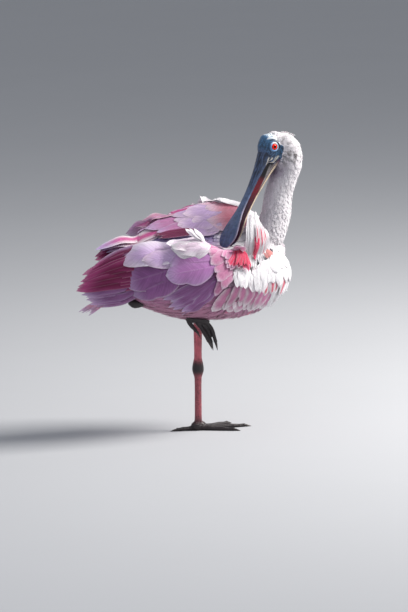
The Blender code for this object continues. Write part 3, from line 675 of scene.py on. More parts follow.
class SpoonbillFace(bpy.types.PropertyGroup):
    """Sizes and colours of the face, the eyes and the bill."""

    eye_opening: length_field("Eye opening", "Radius of the opening between the lids", 0.0055)
    lid_width: length_field("Lid width", "Width of the pale ring round the eye", 0.0028)
    lid_height: length_field("Lid height", "How far the lid's rim stands over the eyeball", 0.0007)
    pupil: length_field("Pupil", "Radius of the pupil", 0.0023)
    iris: length_field("Iris", "Radius of the iris", 0.0058)
    bare_skin: colour_field("Bare skin", "Naked skin of the face", (0.046, 0.140, 0.275))
    lid: colour_field("Lid", "Ring round the eye", (0.36, 0.50, 0.62))
    brow: colour_field("Brow", "Dark line over the eye", (0.010, 0.012, 0.020))
    iris_colour: colour_field("Iris colour", "Colour of the iris", (0.80, 0.012, 0.004))
    slate: colour_field("Slate", "Upper bill", (0.065, 0.105, 0.215))
    bill_edge: colour_field("Bill edge", "Cutting edges of the bill", (0.62, 0.50, 0.36))
    bill_inside: colour_field("Inside of the bill", "Trough of the lower bill", (0.16, 0.035, 0.075))


class SpoonbillLegs(bpy.types.PropertyGroup):
    """Sizes and colours of the legs."""

    scute: length_field("Scute", "Height of one scale on the leg", 0.0034)
    groove: length_field("Groove", "Depth of the grooves between scales", 0.00022)
    red: colour_field("Leg red", "Bare skin of tibia and tarsus", (0.80, 0.16, 0.21))
    dark: colour_field("Dark", "Joints and feet", (0.016, 0.010, 0.012))


class SpoonbillStage(bpy.types.PropertyGroup):
    """Floor, lights and camera."""

    floor_radius: length_field("Floor radius", "Radius of the floor", 60.0)
    floor_colour: colour_field("Floor", "Colour of the floor", (0.44, 0.45, 0.47))
    key_power: FloatProperty(
        name="Key power", description="Power of the main light in watts", default=175.0)
    fill_power: FloatProperty(
        name="Fill power", description="Power of the soft front light in watts", default=14.0)
    sky: FloatProperty(
        name="Surroundings", description="Strength of the even light from all round", default=0.46)
    heading: angle_field("Camera heading", "Turn from square to the body's right side", 17.0)
    elevation: angle_field("Camera elevation", "Angle over the horizon", 8.0)
    roll: angle_field("Camera roll", "Tilt of the frame", 1.7)
    distance: length_field("Camera distance", "From the camera to the bird", 8.0)
    frame_height: length_field("Frame height", "What the picture's height spans at the bird", 612.0 / 588.0)
    frame_seed: IntProperty(name="Seed", description="Seed of every random choice", default=7)


def plug(tree, node, inputs):
    """Fills a node's inputs, each with a value or with another node's output."""
    for key, value in inputs.items():
        if isinstance(value, bpy.types.NodeSocket):
            tree.links.new(value, node.inputs[key])
        else:
            node.inputs[key].default_value = value


def add(tree, kind, inputs=None, **settings):
    """A node with its settings and inputs."""
    node = tree.nodes.new(kind)
    for name, value in settings.items():
        setattr(node, name, value)
    plug(tree, node, inputs or {})
    return node


def maths(tree, operation, *values):
    """The result of one sum on numbers."""
    return add(tree, "ShaderNodeMath", dict(enumerate(values)), operation=operation).outputs[0]


def times(tree, first, second):
    """Two numbers multiplied."""
    return maths(tree, "MULTIPLY", first, second)


def plus(tree, first, second):
    """Two numbers added."""
    return maths(tree, "ADD", first, second)


def minus(tree, first, second):
    """The second number taken from the first."""
    return maths(tree, "SUBTRACT", first, second)


def joint_vector(tree, x, y, z):
    """Three numbers as a vector."""
    return add(tree, "ShaderNodeCombineXYZ", {0: x, 1: y, 2: z}).outputs[0]


def rises(tree, value, low, high):
    """0 where the value is under low, 1 over high and smooth between."""
    return add(tree, "ShaderNodeMapRange", {0: value, 1: low, 2: high, 3: 0.0, 4: 1.0},
               interpolation_type="SMOOTHSTEP").outputs[0]


def ranged(tree, value, low, high, first, last):
    """From first, where the value is low, evenly to last, where it is high."""
    return add(tree, "ShaderNodeMapRange", {0: value, 1: low, 2: high, 3: first, 4: last}).outputs[0]


def tinted(tree, share, first, second, how="MIX"):
    """Two colours mixed."""
    return add(tree, "ShaderNodeMix", {0: share, 6: first, 7: second},
               data_type="RGBA", blend_type=how).outputs[2]


def shaded(tree, colour, shade):
    """A colour made darker or lighter by a factor."""
    return tinted(tree, 1.0, colour, joint_vector(tree, shade, shade, shade), "MULTIPLY")


def attribute(tree, name, output="Fac"):
    """An attribute of the piece."""
    return add(tree, "ShaderNodeAttribute", attribute_name=name).outputs[output]


def object_place(tree):
    """The place on the piece."""
    return add(tree, "ShaderNodeTexCoord").outputs["Object"]


def noise(tree, scale, detail=3.0, roughness=0.6, place=None):
    """Noise on Object coordinates, or on the place that is given."""
    if place is None:
        place = object_place(tree)
    return add(tree, "ShaderNodeTexNoise",
               {"Vector": place, "Scale": scale, "Detail": detail, "Roughness": roughness}).outputs[0]


def empty_material(name):
    """A material with only its shader and its output."""
    made = bpy.data.materials.new(name)
    made.use_nodes = True
    tree = made.node_tree
    tree.nodes.clear()
    shader = add(tree, "ShaderNodeBsdfPrincipled")
    add(tree, "ShaderNodeOutputMaterial", {"Surface": shader.outputs[0]})
    return made, tree, shader


def bumped(tree, shader, height, distance, strength=1.0):
    """Links a height to the shader's normal."""
    node = add(tree, "ShaderNodeBump", {"Height": height, "Distance": distance, "Strength": strength})
    tree.links.new(node.outputs[0], shader.inputs["Normal"])


def opaque(colour):
    """A colour with its alpha."""
    return (*colour, 1.0)


def plumage_material(name, plumage, rim, barbs):
    """Vanes with shaft, barbs and a paler rim. rim is how pale, barbs how many from root to tip."""
    made, tree, shader = empty_material(name)
    place = add(tree, "ShaderNodeUVMap", uv_map="vane").outputs[0]
    sides = add(tree, "ShaderNodeSeparateXYZ", {0: place}).outputs
    across = times(tree, maths(tree, "ABSOLUTE", minus(tree, sides[0], 0.5)), 2.0)
    along = sides[1]
    slant = minus(tree, times(tree, along, barbs), times(tree, across, barbs * 0.22))
    wander = times(tree, noise(tree, 160.0, 2.0), 1.5)
    wave = maths(tree, "SINE", times(tree, plus(tree, slant, wander), math.tau))
    barb = plus(tree, times(tree, wave, 0.5), 0.5)
    middle = minus(tree, 1.0, rises(tree, across, 0.10, 0.45))
    streak = times(tree, attribute(tree, "streak"), middle)
    colour = tinted(tree, streak, attribute(tree, "tint", "Color"), opaque(plumage.carmine))
    edge = maths(tree, "MAXIMUM", rises(tree, across, 0.82, 1.0), rises(tree, along, 0.92, 1.0))
    colour = tinted(tree, times(tree, edge, rim), colour, opaque(plumage.white))
    shaft = minus(tree, 1.0, rises(tree, across, 0.02, 0.08))
    colour = tinted(tree, times(tree, shaft, 0.06), colour, opaque(plumage.white))
    tone = attribute(tree, "tone")
    drawn = joint_vector(tree, times(tree, slant, 0.55), across, times(tree, tone, 37.0))
    parting = noise(tree, 1.0, 5.0, 0.65, drawn)
    ribbed = times(tree, ranged(tree, barb, 0.0, 1.0, 0.92, 1.04),
                   ranged(tree, parting, 0.32, 0.68, 0.80, 1.12))
    patchy = times(tree, ranged(tree, noise(tree, 38.0), 0.3, 0.7, 0.94, 1.05),
                   ranged(tree, tone, 0.0, 1.0, 0.91, 1.06))
    plug(tree, shader, {
        "Base Color": shaded(tree, colour, times(tree, patchy, ribbed)),
        "Roughness": ranged(tree, barb, 0.0, 1.0, 0.72, 0.56),
        "Sheen Weight": 0.08,
        "Sheen Roughness": 0.45,
        "Specular IOR Level": 0.25,
        "Subsurface Weight": 0.25,
        "Subsurface Radius": (1.0, 0.7, 0.8),
        "Subsurface Scale": 0.004,
    })
    bumped(tree, shader, plus(tree, times(tree, barb, 0.35), shaft), 0.0003, 0.6)
    return made


def skin_material(name):
    """Down under the feathers, and pebbled naked skin where the bird is bare."""
    made, tree, shader = empty_material(name)
    bare = attribute(tree, "bare")
    cells = add(tree, "ShaderNodeTexVoronoi", {"Vector": object_place(tree), "Scale": 1100.0})
    folds = noise(tree, 420.0, 4.0)
    colour = attribute(tree, "tint", "Color")
    mottled = shaded(tree, colour, ranged(tree, noise(tree, 190.0, 4.0), 0.32, 0.68, 0.72, 1.22))
    plug(tree, shader, {
        "Base Color": tinted(tree, times(tree, bare, 0.8), colour, mottled),
        "Roughness": minus(tree, 0.85, times(tree, bare, 0.42)),
    })
    relief = times(tree, plus(tree, cells.outputs["Distance"], folds), plus(tree, bare, 0.3))
    bumped(tree, shader, relief, 0.0004, 0.55)
    return made


def eye_material(name, face):
    """Pupil, iris with fibres and a dark rim, read from the distance to the pole."""
    made, tree, shader = empty_material(name)
    gaze = attribute(tree, "gaze")
    fibres = ranged(tree, noise(tree, 900.0, 3.0), 0.3, 0.7, 0.65, 1.35)
    colour = shaded(tree, opaque(face.iris_colour), fibres)
    colour = tinted(tree, rises(tree, gaze, face.pupil, face.pupil + 0.0007), (0.55, 0.06, 0.01, 1.0), colour)
    rim = rises(tree, gaze, face.iris - 0.0012, face.iris - 0.0002)
    colour = tinted(tree, rim, colour, (0.03, 0.004, 0.004, 1.0))
    round_pupil = rises(tree, gaze, face.pupil - 0.0002, face.pupil + 0.0002)
    plug(tree, shader, {
        "Base Color": tinted(tree, round_pupil, (0.003, 0.002, 0.002, 1.0), colour),
        "Roughness": 0.25,
        "Specular IOR Level": 0.1,
        "Coat Weight": 0.08,
        "Coat Roughness": 0.03,
    })
    return made


def bill_material(name):
    """Horn with fine grain along the bill and darker ridges at its base."""
    made, tree, shader = empty_material(name)
    place = add(tree, "ShaderNodeUVMap", uv_map="along_bill").outputs[0]
    drawn = add(tree, "ShaderNodeMapping", {"Vector": place, "Scale": (14.0, 60.0, 1.0)}).outputs[0]
    grain = noise(tree, 1.0, 5.0, 0.65, drawn)
    blotch = ranged(tree, noise(tree, 120.0, 4.0), 0.3, 0.7, 0.66, 1.28)
    shade = times(tree, blotch, ranged(tree, grain, 0.3, 0.7, 0.72, 1.25))
    plug(tree, shader, {
        "Base Color": shaded(tree, attribute(tree, "tint", "Color"), shade),
        "Roughness": ranged(tree, grain, 0.3, 0.7, 0.36, 0.58),
    })
    bumped(tree, shader, plus(tree, grain, times(tree, noise(tree, 700.0), 0.5)), 0.0003, 0.5)
    return made


def leg_material(name):
    """Net of small scales over the leg's own colours."""
    made, tree, shader = empty_material(name)
    cells = add(tree, "ShaderNodeTexVoronoi", {"Vector": object_place(tree), "Scale": 620.0},
                feature="DISTANCE_TO_EDGE")
    edge = rises(tree, cells.outputs["Distance"], 0.0, 0.16)
    colour = tinted(tree, edge, (0.012, 0.006, 0.008, 1.0), attribute(tree, "tint", "Color"))
    worn = ranged(tree, noise(tree, 130.0, 4.0), 0.3, 0.7, 0.70, 1.30)
    plug(tree, shader, {"Base Color": shaded(tree, colour, worn), "Roughness": 0.36})
    bumped(tree, shader, edge, 0.00025, 0.7)
    return made


def claw_material(name):
    """Dark horn with lengthwise grain."""
    made, tree, shader = empty_material(name)
    grain = noise(tree, 900.0, 4.0)
    colour = tinted(tree, grain, (0.010, 0.008, 0.008, 1.0), (0.060, 0.045, 0.042, 1.0))
    plug(tree, shader, {"Base Color": colour, "Roughness": 0.30})
    bumped(tree, shader, grain, 0.0001, 0.4)
    return made


def floor_material(name, pale):
    """Pale, even and matt, with a trace of unevenness."""
    made, tree, shader = empty_material(name)
    cloudy = ranged(tree, noise(tree, 2.0), 0.3, 0.7, 0.985, 1.0)
    plug(tree, shader, {
        "Base Color": shaded(tree, opaque(pale), cloudy),
        "Roughness": 0.9,
        "Specular IOR Level": 0.1,
    })
    return made


def lie_of_coat(points, normals):
    """The way that feathers point, along the surface: from the face back over the nape and down the body."""
    ratio, t, way = neck_place(points)
    x, _, z = points.T
    back = np.array((-1.0, 0.0, -0.10))
    down = np.array((-0.35, 0.0, -1.0))
    front = ease(0.02, 0.13, x) * (1.0 - 0.6 * ease(0.300, 0.335, z))
    lie = mix(back, down, front)
    on_neck = (1.0 - ease(1.25, 1.75, ratio)) * ease(0.02, 0.16, t)
    lie = mix(lie, way, on_neck)
    on_head = 1.0 - ease(0.020, 0.042, from_eyes(points))
    lie = mix(lie, -BILL_AHEAD, on_head)
    lie = lie - normals * (lie * normals).sum(axis=1, keepdims=True)
    return unit(lie)


def coat_colours(points, plumage):
    """The markings of skin and coat, one colour for each point, with painted shade in the head's dimples,
    under the bill, on the rear of the neck and on the back between the wings.
    """
    x, y, z = points.T
    ratio, t, _ = neck_place(points)
    painted = mix(plumage.pink, plumage.mauve, 1.0 - ease(0.205, 0.250, z))
    rear = 1.0 - ease(-0.110, -0.060, x)
    painted = mix(painted, mix(plumage.salmon, plumage.pink, 0.3), rear)
    # Painted shade: the pale back between the wings, in bluish shade.
    top = ease(0.300, 0.330, z) * (1.0 - ease(0.030, 0.060, np.abs(y)))
    painted = mix(painted, plumage.periwinkle_shade, top)
    breast = ease(0.055, 0.090, x) * ease(0.222, 0.252, z)
    painted = mix(painted, plumage.white, breast)
    on_neck = (1.0 - ease(1.25, 1.6, ratio)) * ease(0.02, 0.12, t)
    far = from_eyes(points)
    head = 1.0 - ease(0.040, 0.055, far)
    painted = mix(painted, plumage.white, np.maximum(on_neck, head))
    near = far < 0.075
    along, _, up = in_head(points)
    # Painted shade: dark pockets between the head's feathers, most of them on the cheek.
    cheek = bell(along, -0.008, 0.014) * bell(up, -0.032, 0.012)
    wide = 0.45 * ease(0.050, 0.026, far) + 0.9 * cheek
    dimple_shade = np.zeros(len(points))
    dimple_shade[near] = ease(0.52, 0.58, cloud(points[near], 330.0, 3.0)) * wide[near]
    # Painted shadow on the neck under the lower bill.
    throat = bell(along, 0.024, 0.014) * bell(up, -0.031, 0.010)
    painted = mix(painted, PAINT["throat"], throat * 0.85 * near)
    # Painted shade on the rear side of the neck.
    nape = on_neck * (1.0 - head) * ease(0.10, -0.75, unit(points - (0.160, 0.0, 0.0))[:, 0])
    painted = mix(painted, PAINT["nape"], nape * 0.35)
    return mix(painted, PAINT["dimple_shade"], np.clip(dimple_shade, 0.0, 0.9))


def round_eye(along, up):
    """Distance from the eye's middle, seen from the side, and angle from straight back, in degrees."""
    return np.hypot(along, up), np.degrees(np.arctan2(up, -along))


def round_lids(points, sign):
    """The way out of one eye, and each point's distance along it and away from it, from the eye's middle."""
    out = HEAD_LEFT * sign
    rel = points - (HEAD_MIDDLE + out * EYE_OFFSET)
    axial = rel @ out
    return out, axial, np.linalg.norm(rel - axial[:, None] * out, axis=1)


def gape_strokes(along, side, up):
    """Pale strokes that spread from the corner of the gape over skin and bill, as 0 to 1."""
    depth = EYE_OFFSET - np.abs(side)
    along = along - 0.233 * depth
    up = up - 0.58 * depth
    strokes = np.zeros(np.shape(along))
    for start, end, width in GAPE_STROKES:
        share = np.clip((along - start[0]) / (end[0] - start[0]), 0.0, 1.0)
        line = start[1] + (end[1] - start[1]) * share + 0.0004 * np.sin(along * 900.0)
        stretch = ease(start[0] - 0.002, start[0], along) * ease(end[0] + 0.004, end[0] - 0.004, along)
        strokes = np.maximum(strokes, bell(up, line, width) * stretch)
    return strokes


def carve_face(points, normals, face):
    """Lids, brow and folds of the gape, moved out along the head's own directions, and a lower crown."""
    points = points.copy()
    rim = face.eye_opening
    for sign in (1.0, -1.0):
        out, axial, radial = round_lids(points, sign)
        near = (axial > -0.004) & (radial < 0.0125)
        ball = np.sqrt(np.maximum(EYE_RADIUS ** 2 - radial ** 2, 0.0))
        crest = math.sqrt(EYE_RADIUS ** 2 - rim ** 2) + face.lid_height
        cup = np.minimum(ball - 0.0016, crest - 0.0020)
        slope = crest + (axial - crest) * ease(rim + 0.0006, rim + 0.0056, radial)
        fold = -0.00035 * bell(radial, rim + face.lid_width, 0.0005)
        wanted = np.where(radial < rim, cup, slope + fold)
        points[near] += (wanted - axial)[near, None] * out
    along, side, up = in_head(points)
    reach, angle = round_eye(along, up)
    brow = bell(reach, 0.0097, 0.0011) * ease(-62.0, -45.0, angle) * ease(72.0, 55.0, angle)
    sided = ease(0.006, 0.012, np.abs(side))
    gape_fold = np.zeros(len(points))
    for k, drop in enumerate((-0.0145, -0.0172, -0.0198)):
        line = drop - 0.10 * (along - 0.004)
        here = 1.0 - ease(0.006, 0.010, np.abs(along - 0.004 + 0.001 * k))
        gape_fold += bell(up, line, 0.0007) * here
    move = 0.0007 * brow * sided + 0.0004 * gape_fold * sided
    crown = bell(up, 0.013, 0.011) * ease(-0.008, -0.024, along)
    return points + normals * move[:, None] + BILL_AHEAD * (0.0056 * crown)[:, None]


def face_colours(points, painted, bare, face):
    """Paints naked skin, the pale ring of the lids with painted highlight on two arcs, painted shadow round
    the lids, the brow, and painted shade in the corner of the gape.
    """
    along, side, up = in_head(points)
    near = from_eyes(points) < 0.05
    drawn = np.stack([along * 0.25, side, up], axis=1)
    streaky, pebbles, strokes = (np.full(len(points), 0.5) for _ in range(3))
    streaky[near] = ease(0.40, 0.60, cloud(drawn[near], 430.0))
    pebbles[near] = ease(0.36, 0.64, cloud(points[near], 460.0, 5.0))
    strokes[near] = ease(0.44, 0.56, cloud(points[near], 520.0, 9.0))
    naked, slate = np.array(face.bare_skin), np.array(face.slate)
    skin = mix(naked, naked * 0.22, 0.5 * pebbles + 0.5 * streaky)
    bright = bell(along, -0.012, 0.010) * ease(0.002, 0.012, up)
    skin = mix(skin, naked * 1.7, bright * 0.6)
    skin = mix(skin, mix(slate, slate * 0.22, streaky), ease(0.004, 0.018, along) * 0.85)
    reach, angle = round_eye(along, up)
    crown = ease(0.0125, 0.0165, reach) * ease(-50.0, -20.0, angle) * ease(58.0, 42.0, angle)
    skin = mix(skin, PAINT["crown"], crown * (0.35 + 0.65 * strokes))
    rim = face.eye_opening
    outer = rim + face.lid_width
    for sign in (1.0, -1.0):
        _, axial, radial = round_lids(points, sign)
        here = (axial > -0.004).astype(float)
        ring = ease(rim - 0.0006, rim + 0.0002, radial) * ease(outer + 0.0006, outer - 0.0008, radial)
        # Painted highlight: two paler arcs of the lid ring.
        pale = bell(angle, 20.0, 50.0) + 0.5 * bell(angle, -75.0, 50.0)
        lid = mix(np.array(face.lid) * (0.35, 0.62, 1.0), PAINT["lid highlight"], np.clip(pale, 0.0, 1.0))
        skin = mix(skin, lid, ring * here * 0.95)
        skin = mix(skin, PAINT["inner lid"], ease(rim + 0.0004, rim - 0.0001, radial) * here)
        shadow = bell(radial, outer + 0.0006, 0.0008) * here
        skin = mix(skin, face.brow, shadow * 0.35 * (1.0 - pebbles * 0.7))
        arc = ease(-85.0, -60.0, angle) * ease(66.0, 48.0, angle)
        skin = mix(skin, face.brow, bell(reach, 0.0108 + 0.00002 * angle, 0.0013) * arc * here)
        above = ease(-12.0, 4.0, angle) * ease(72.0, 60.0, angle)
        skin = mix(skin, PAINT["pale brow"], bell(reach, 0.0131 + 0.00005 * angle, 0.0013) * above * here)
    skin = mix(skin, PAINT["gape"], gape_strokes(along, side, up))
    # Painted shade in the corner of the gape.
    corner = bell(along, 0.0225, 0.004) * bell(up, -0.0060, 0.0022)
    skin = mix(skin, PAINT["gape corner shade"], corner * 0.9)
    return mix(painted, skin, bare)


def subdivided_head(mesh):
    """Finer faces on the skin of the head, and finer ones again round the eyes."""
    shape = shape_of(mesh)
    middle = Vector(HEAD_MIDDLE)
    for reach in (0.040, 0.030):
        fine = [e for e in shape.edges if all((v.co - middle).length < reach for v in e.verts)]
        bmesh.ops.subdivide_edges(shape, edges=fine, cuts=1, use_grid_fill=True)
    bmesh.ops.triangulate(shape, faces=[f for f in shape.faces if len(f.verts) > 4])
    return poured(shape, mesh)


def body_skin(context):
    """One closed skin under the whole coat, with lids and folds on its naked face."""
    plumage = context.scene.spoonbill_plumage
    face = context.scene.spoonbill_face
    mesh = voxelled(joined_nodes(FLESH + ("eye_left", "eye_right"), SWELL), BODY_VOXEL)
    points = smoothed(points_of(mesh), edges_of(mesh), 14)
    move_points(mesh, points)
    ratio, t, _ = neck_place(points)
    on_neck = (1.0 - ease(1.3, 1.7, ratio)) * ease(0.05, 0.2, t)
    on_head = 1.0 - ease(0.026, 0.044, from_eyes(points))
    depth = plumage.coat_depth * (1.0 - on_neck) + plumage.neck_coat_depth * on_neck
    depth = depth * (1.0 - on_head) + plumage.head_coat_depth * on_head
    depth = depth * (1.0 - bare_face(points))
    points = points - normals_of(mesh) * depth[:, None]
    points = smoothed(points, edges_of(mesh), 4, 0.4 * (1.0 - bare_face(points)))
    move_points(mesh, points)
    mesh = subdivided_head(mesh)
    points = points_of(mesh)
    near = (from_eyes(points) < 0.042).astype(float)
    points = smoothed(points, edges_of(mesh), 6, 0.5 * near)
    move_points(mesh, points)
    points = carve_face(points, normals_of(mesh), face)
    move_points(mesh, points)
    bare = bare_face(points)
    store(mesh, "bare", "FLOAT", bare)
    store(mesh, "tint", "FLOAT_COLOR", face_colours(points, coat_colours(points, plumage), bare, face))
    store(mesh, "lie", "FLOAT_VECTOR", lie_of_coat(points, normals_of(mesh)))
    skin = new_object("body_skin", mesh, skin_material("down_and_bare_skin"))
    unwrap(skin, "skin_map")
    return skin


def unwrap(piece, name):
    """A UV map that lays the piece's own shape out in islands."""
    piece.data.uv_layers.new(name=name)
    for other in bpy.context.selected_objects:
        other.select_set(False)
    bpy.context.view_layer.objects.active = piece
    piece.select_set(True)
    bpy.ops.object.mode_set(mode="EDIT")
    bpy.ops.mesh.select_all(action="SELECT")
    bpy.ops.uv.smart_project(angle_limit=math.radians(70.0), island_margin=0.004)
    bpy.ops.object.mode_set(mode="OBJECT")
    piece.select_set(False)


def vane_outline(v, point):
    """Half width along a feather, as a share of the whole. point: 0 for a round tip, 1 for a sharp one."""
    rise = np.sin(np.clip(v / 0.42, 0.0, 1.0) * math.pi / 2) ** 0.8
    fall = np.clip((v - 0.42) / 0.58, 0.0, 1.0)
    round_tip = np.sqrt(np.maximum(1.0 - fall ** 2.6, 0.0))
    sharp_tip = (1.0 - fall) ** 0.85
    return 0.5 * np.maximum(rise * (round_tip * (1.0 - point) + sharp_tip * point), 0.02)


def vane_template(name, rings, size, point, curl, cup, thickness):
    """A small closed feather of unit length and width, along +Y, with its own UV map."""
    v = np.linspace(0.0, 1.0, rings)
    angle = 2.0 * math.pi * np.arange(size) / size
    across = np.cos(angle)
    rows = []
    uv = []
    for place, width in zip(v, vane_outline(v, point)):
        over = np.sin(angle) * thickness * (1.0 - 0.6 * place)
        height = over - cup * across ** 2 * width - curl * place ** 2
        rows.append(np.stack([across * width, np.full(size, place), height], axis=1))
        uv.append(np.stack([0.5 + 0.5 * across, np.full(size, place)], axis=1))
    mesh = ring_mesh(name, rows)
    whole = np.concatenate(rows)
    store(mesh, "relief", "FLOAT", whole[:, 2])
    store(mesh, "along", "FLOAT", whole[:, 1])
    lay_out(mesh, "vane", np.concatenate(uv))
    return bpy.data.objects.new(name, mesh)


def stored(tree, name, kind="FLOAT"):
    """An attribute of the geometry."""
    return add(tree, "GeometryNodeInputNamedAttribute", {"Name": name}, data_type=kind).outputs[0]


def with_stored(tree, geometry, name, value, kind="FLOAT", domain="POINT"):
    """The geometry with one more attribute."""
    return add(tree, "GeometryNodeStoreNamedAttribute", {"Geometry": geometry, "Name": name, "Value": value},
               data_type=kind, domain=domain).outputs[0]


def vectors(tree, operation, inputs):
    """The result of one sum on vectors."""
    return add(tree, "ShaderNodeVectorMath", inputs, operation=operation).outputs[0]


def drape_nodes(tree, feathers, given):
    """Nodes that lay every feather over the skin, higher towards its tip, with the tips a little free."""
    where = add(tree, "GeometryNodeInputPosition").outputs[0]
    found = []
    for value in (where, stored(tree, "upright", "FLOAT_VECTOR")):
        sample = add(tree, "GeometryNodeSampleNearestSurface",
                     {"Mesh": given["Geometry"], "Value": value, "Sample Position": where},
                     data_type="FLOAT_VECTOR")
        found.append(sample.outputs["Value"])
    normal = vectors(tree, "NORMALIZE", {0: found[1]})
    length = add(tree, "ShaderNodeSeparateXYZ", {0: stored(tree, "size", "FLOAT_VECTOR")}).outputs[1]
    along = stored(tree, "along")
    level = maths(tree, "MULTIPLY_ADD", stored(tree, "level"), 0.5, 0.5)
    tip = times(tree, times(tree, given["Tip height"], level), along)
    clear = maths(tree, "MULTIPLY_ADD", level, 0.0004, 0.0002)
    height = plus(tree, tip, maths(tree, "MULTIPLY_ADD", stored(tree, "relief"), length, clear))
    raised = vectors(tree, "SCALE", {0: normal, "Scale": height})
    pressed_down = vectors(tree, "ADD", {0: found[0], 1: raised})
    free = times(tree, given["Free"], times(tree, along, along))
    placed = add(tree, "ShaderNodeMix", {0: free, 4: pressed_down, 5: where}, data_type="VECTOR").outputs[1]
    return add(tree, "GeometryNodeSetPosition", {"Geometry": feathers, "Position": placed}).outputs[0]


def coat_tree():
    """Geometry Nodes that plant feathers on a tract of the skin along the lie of the coat."""
    tree = bpy.data.node_groups.new("plant_feathers", "GeometryNodeTree")
    sizes = ("Spacing", "Lift", "Lift spread", "Turn spread", "Size spread", "Tip height", "Free")
    sockets = [("Geometry", "Geometry"), ("Feathers", "Collection"), ("Tract", "String")]
    sockets += [(name, "Float") for name in sizes]
    sockets += [("Seed", "Int"), ("Finish", "Material")]
    for name, kind in sockets:
        tree.interface.new_socket(name, in_out="INPUT", socket_type="NodeSocket" + kind)
    tree.interface.new_socket("Geometry", in_out="OUTPUT", socket_type="NodeSocketGeometry")
    given = add(tree, "NodeGroupInput").outputs
    spacing = given["Spacing"]
    planted = add(tree, "GeometryNodeDistributePointsOnFaces", {
        "Mesh": given["Geometry"],
        "Distance Min": spacing,
        "Density Max": maths(tree, "DIVIDE", 3.0, times(tree, spacing, spacing)),
        "Density Factor": stored(tree, given["Tract"]),
        "Seed": given["Seed"],
    }, distribute_method="POISSON")
    upright = add(tree, "FunctionNodeAlignRotationToVector", {"Vector": planted.outputs["Normal"]}, axis="Z")
    laid = add(tree, "FunctionNodeAlignRotationToVector",
               {"Rotation": upright.outputs[0], "Vector": stored(tree, "lie", "FLOAT_VECTOR")},
               axis="Y", pivot_axis="Z")

    def random(low, high, offset):
        seed = add(tree, "FunctionNodeIntegerMath", {0: given["Seed"], 1: offset}).outputs[0]
        return add(tree, "FunctionNodeRandomValue", {2: low, 3: high, "Seed": seed}).outputs[1]

    lift = maths(tree, "MULTIPLY_ADD", random(-1.0, 1.0, 11), given["Lift spread"], given["Lift"])
    sideways = times(tree, random(-1.0, 1.0, 12), given["Turn spread"])
    roll = times(tree, random(-1.0, 1.0, 13), given["Lift spread"])
    tilt = joint_vector(tree, lift, roll, sideways)
    tilted = add(tree, "FunctionNodeEulerToRotation", {0: tilt}).outputs[0]
    turned = add(tree, "FunctionNodeRotateRotation",
                 {0: laid.outputs[0], 1: tilted}, rotation_space="LOCAL").outputs[0]
    grown = maths(tree, "MULTIPLY_ADD", random(-1.0, 1.0, 14), given["Size spread"], 1.0)
    toned = with_stored(tree, planted.outputs["Points"], "tone", random(0.0, 1.0, 15))
    toned = with_stored(tree, toned, "level", random(0.0, 1.0, 16))
    kinds = add(tree, "GeometryNodeCollectionInfo",
                {"Collection": given["Feathers"], "Separate Children": True, "Reset Children": True})
    placed = add(tree, "GeometryNodeInstanceOnPoints", {
        "Points": toned,
        "Instance": kinds.outputs[0],
        "Pick Instance": True,
        "Rotation": turned,
        "Scale": vectors(tree, "SCALE", {0: stored(tree, "size", "FLOAT_VECTOR"), "Scale": grown}),
    })
    real = add(tree, "GeometryNodeRealizeInstances", {"Geometry": placed.outputs[0]})
    laid_down = drape_nodes(tree, real.outputs[0], given)
    centred = vectors(tree, "SUBTRACT", {0: stored(tree, "vane", "FLOAT_VECTOR"), 1: (0.5, 0.5, 0.0)})
    small = vectors(tree, "SCALE", {0: centred, "Scale": PATCH})
    patch = vectors(tree, "ADD", {0: stored(tree, "skin_map", "FLOAT_VECTOR"), 1: small})
    cleared = with_stored(tree, laid_down, "OFBake", patch, "FLOAT2", "CORNER")
    for name in ("skin_map", "lie", "size", "along", "relief", "upright", "level"):
        cleared = add(tree, "GeometryNodeRemoveAttribute", {"Geometry": cleared, "Name": name}).outputs[0]
    painted = add(tree, "GeometryNodeSetMaterial", {"Geometry": cleared, "Material": given["Finish"]})
    smooth = add(tree, "GeometryNodeSetShadeSmooth", {"Geometry": painted.outputs[0]})
    add(tree, "NodeGroupOutput", {"Geometry": smooth.outputs[0]})
    return tree


def grow(name, skin, feathers, tract, values):
    """One coat piece: the tree run on a copy of the skin, turned into a plain mesh."""
    tree = bpy.data.node_groups.get("plant_feathers") or coat_tree()
    carrier = skin.copy()
    carrier.data = skin.data.copy()
    bpy.context.scene.collection.objects.link(carrier)
    for label, kind, rows in tract:
        store(carrier.data, label, kind, rows)
    store(carrier.data, "upright", "FLOAT_VECTOR", normals_of(skin.data))
    box = bpy.data.collections.new(name + "_kinds")
    for item in feathers:
        box.objects.link(item)
    step = carrier.modifiers.new("feathers", "NODES")
    step.node_group = tree
    sockets = {item.name: item.identifier for item in tree.interface.items_tree
               if item.item_type == "SOCKET" and item.in_out == "INPUT"}
    step[sockets["Feathers"]] = box
    for label, value in values.items():
        step[sockets[label]] = value
    mesh = evaluated_mesh(carrier)
    mesh.name = name
    discard(carrier)
    bpy.data.collections.remove(box)
    mesh.set_sharp_from_angle(angle=RIM_ANGLE)
    piece = bpy.data.objects.new(name, mesh)
    bpy.context.scene.collection.objects.link(piece)
    passing = ("here", "bare", "skin_map", "size", "lie", "upright")
    for extra in [a.name for a in mesh.attributes if a.name in passing]:
        mesh.attributes.remove(mesh.attributes[extra])
    return piece


def tract_shares(points, bare):
    """Where each tract grows, as true or false for each point of the skin."""
    x, y, z = points.T
    ratio, t, _ = neck_place(points)
    far = from_eyes(points)
    feathered = bare < 0.5
    head = (far < 0.037) & feathered
    neck = (far >= 0.034) & (ratio < 1.35) & (t > 0.16) & feathered
    body = ~head & ~neck & feathered & (far > 0.034)
    breast = body & (x > 0.055) & (z > 0.180) & ((np.abs(y) < 0.055) | (x > 0.085))
    top = body & (z > 0.296) & (x < 0.10) & ~breast
    low = body & (z < 0.236) & ~breast
    side = body & ~breast & ~top & ~low
    return {"head": head, "neck": neck, "breast": breast, "back": top, "flank": side, "belly": low}


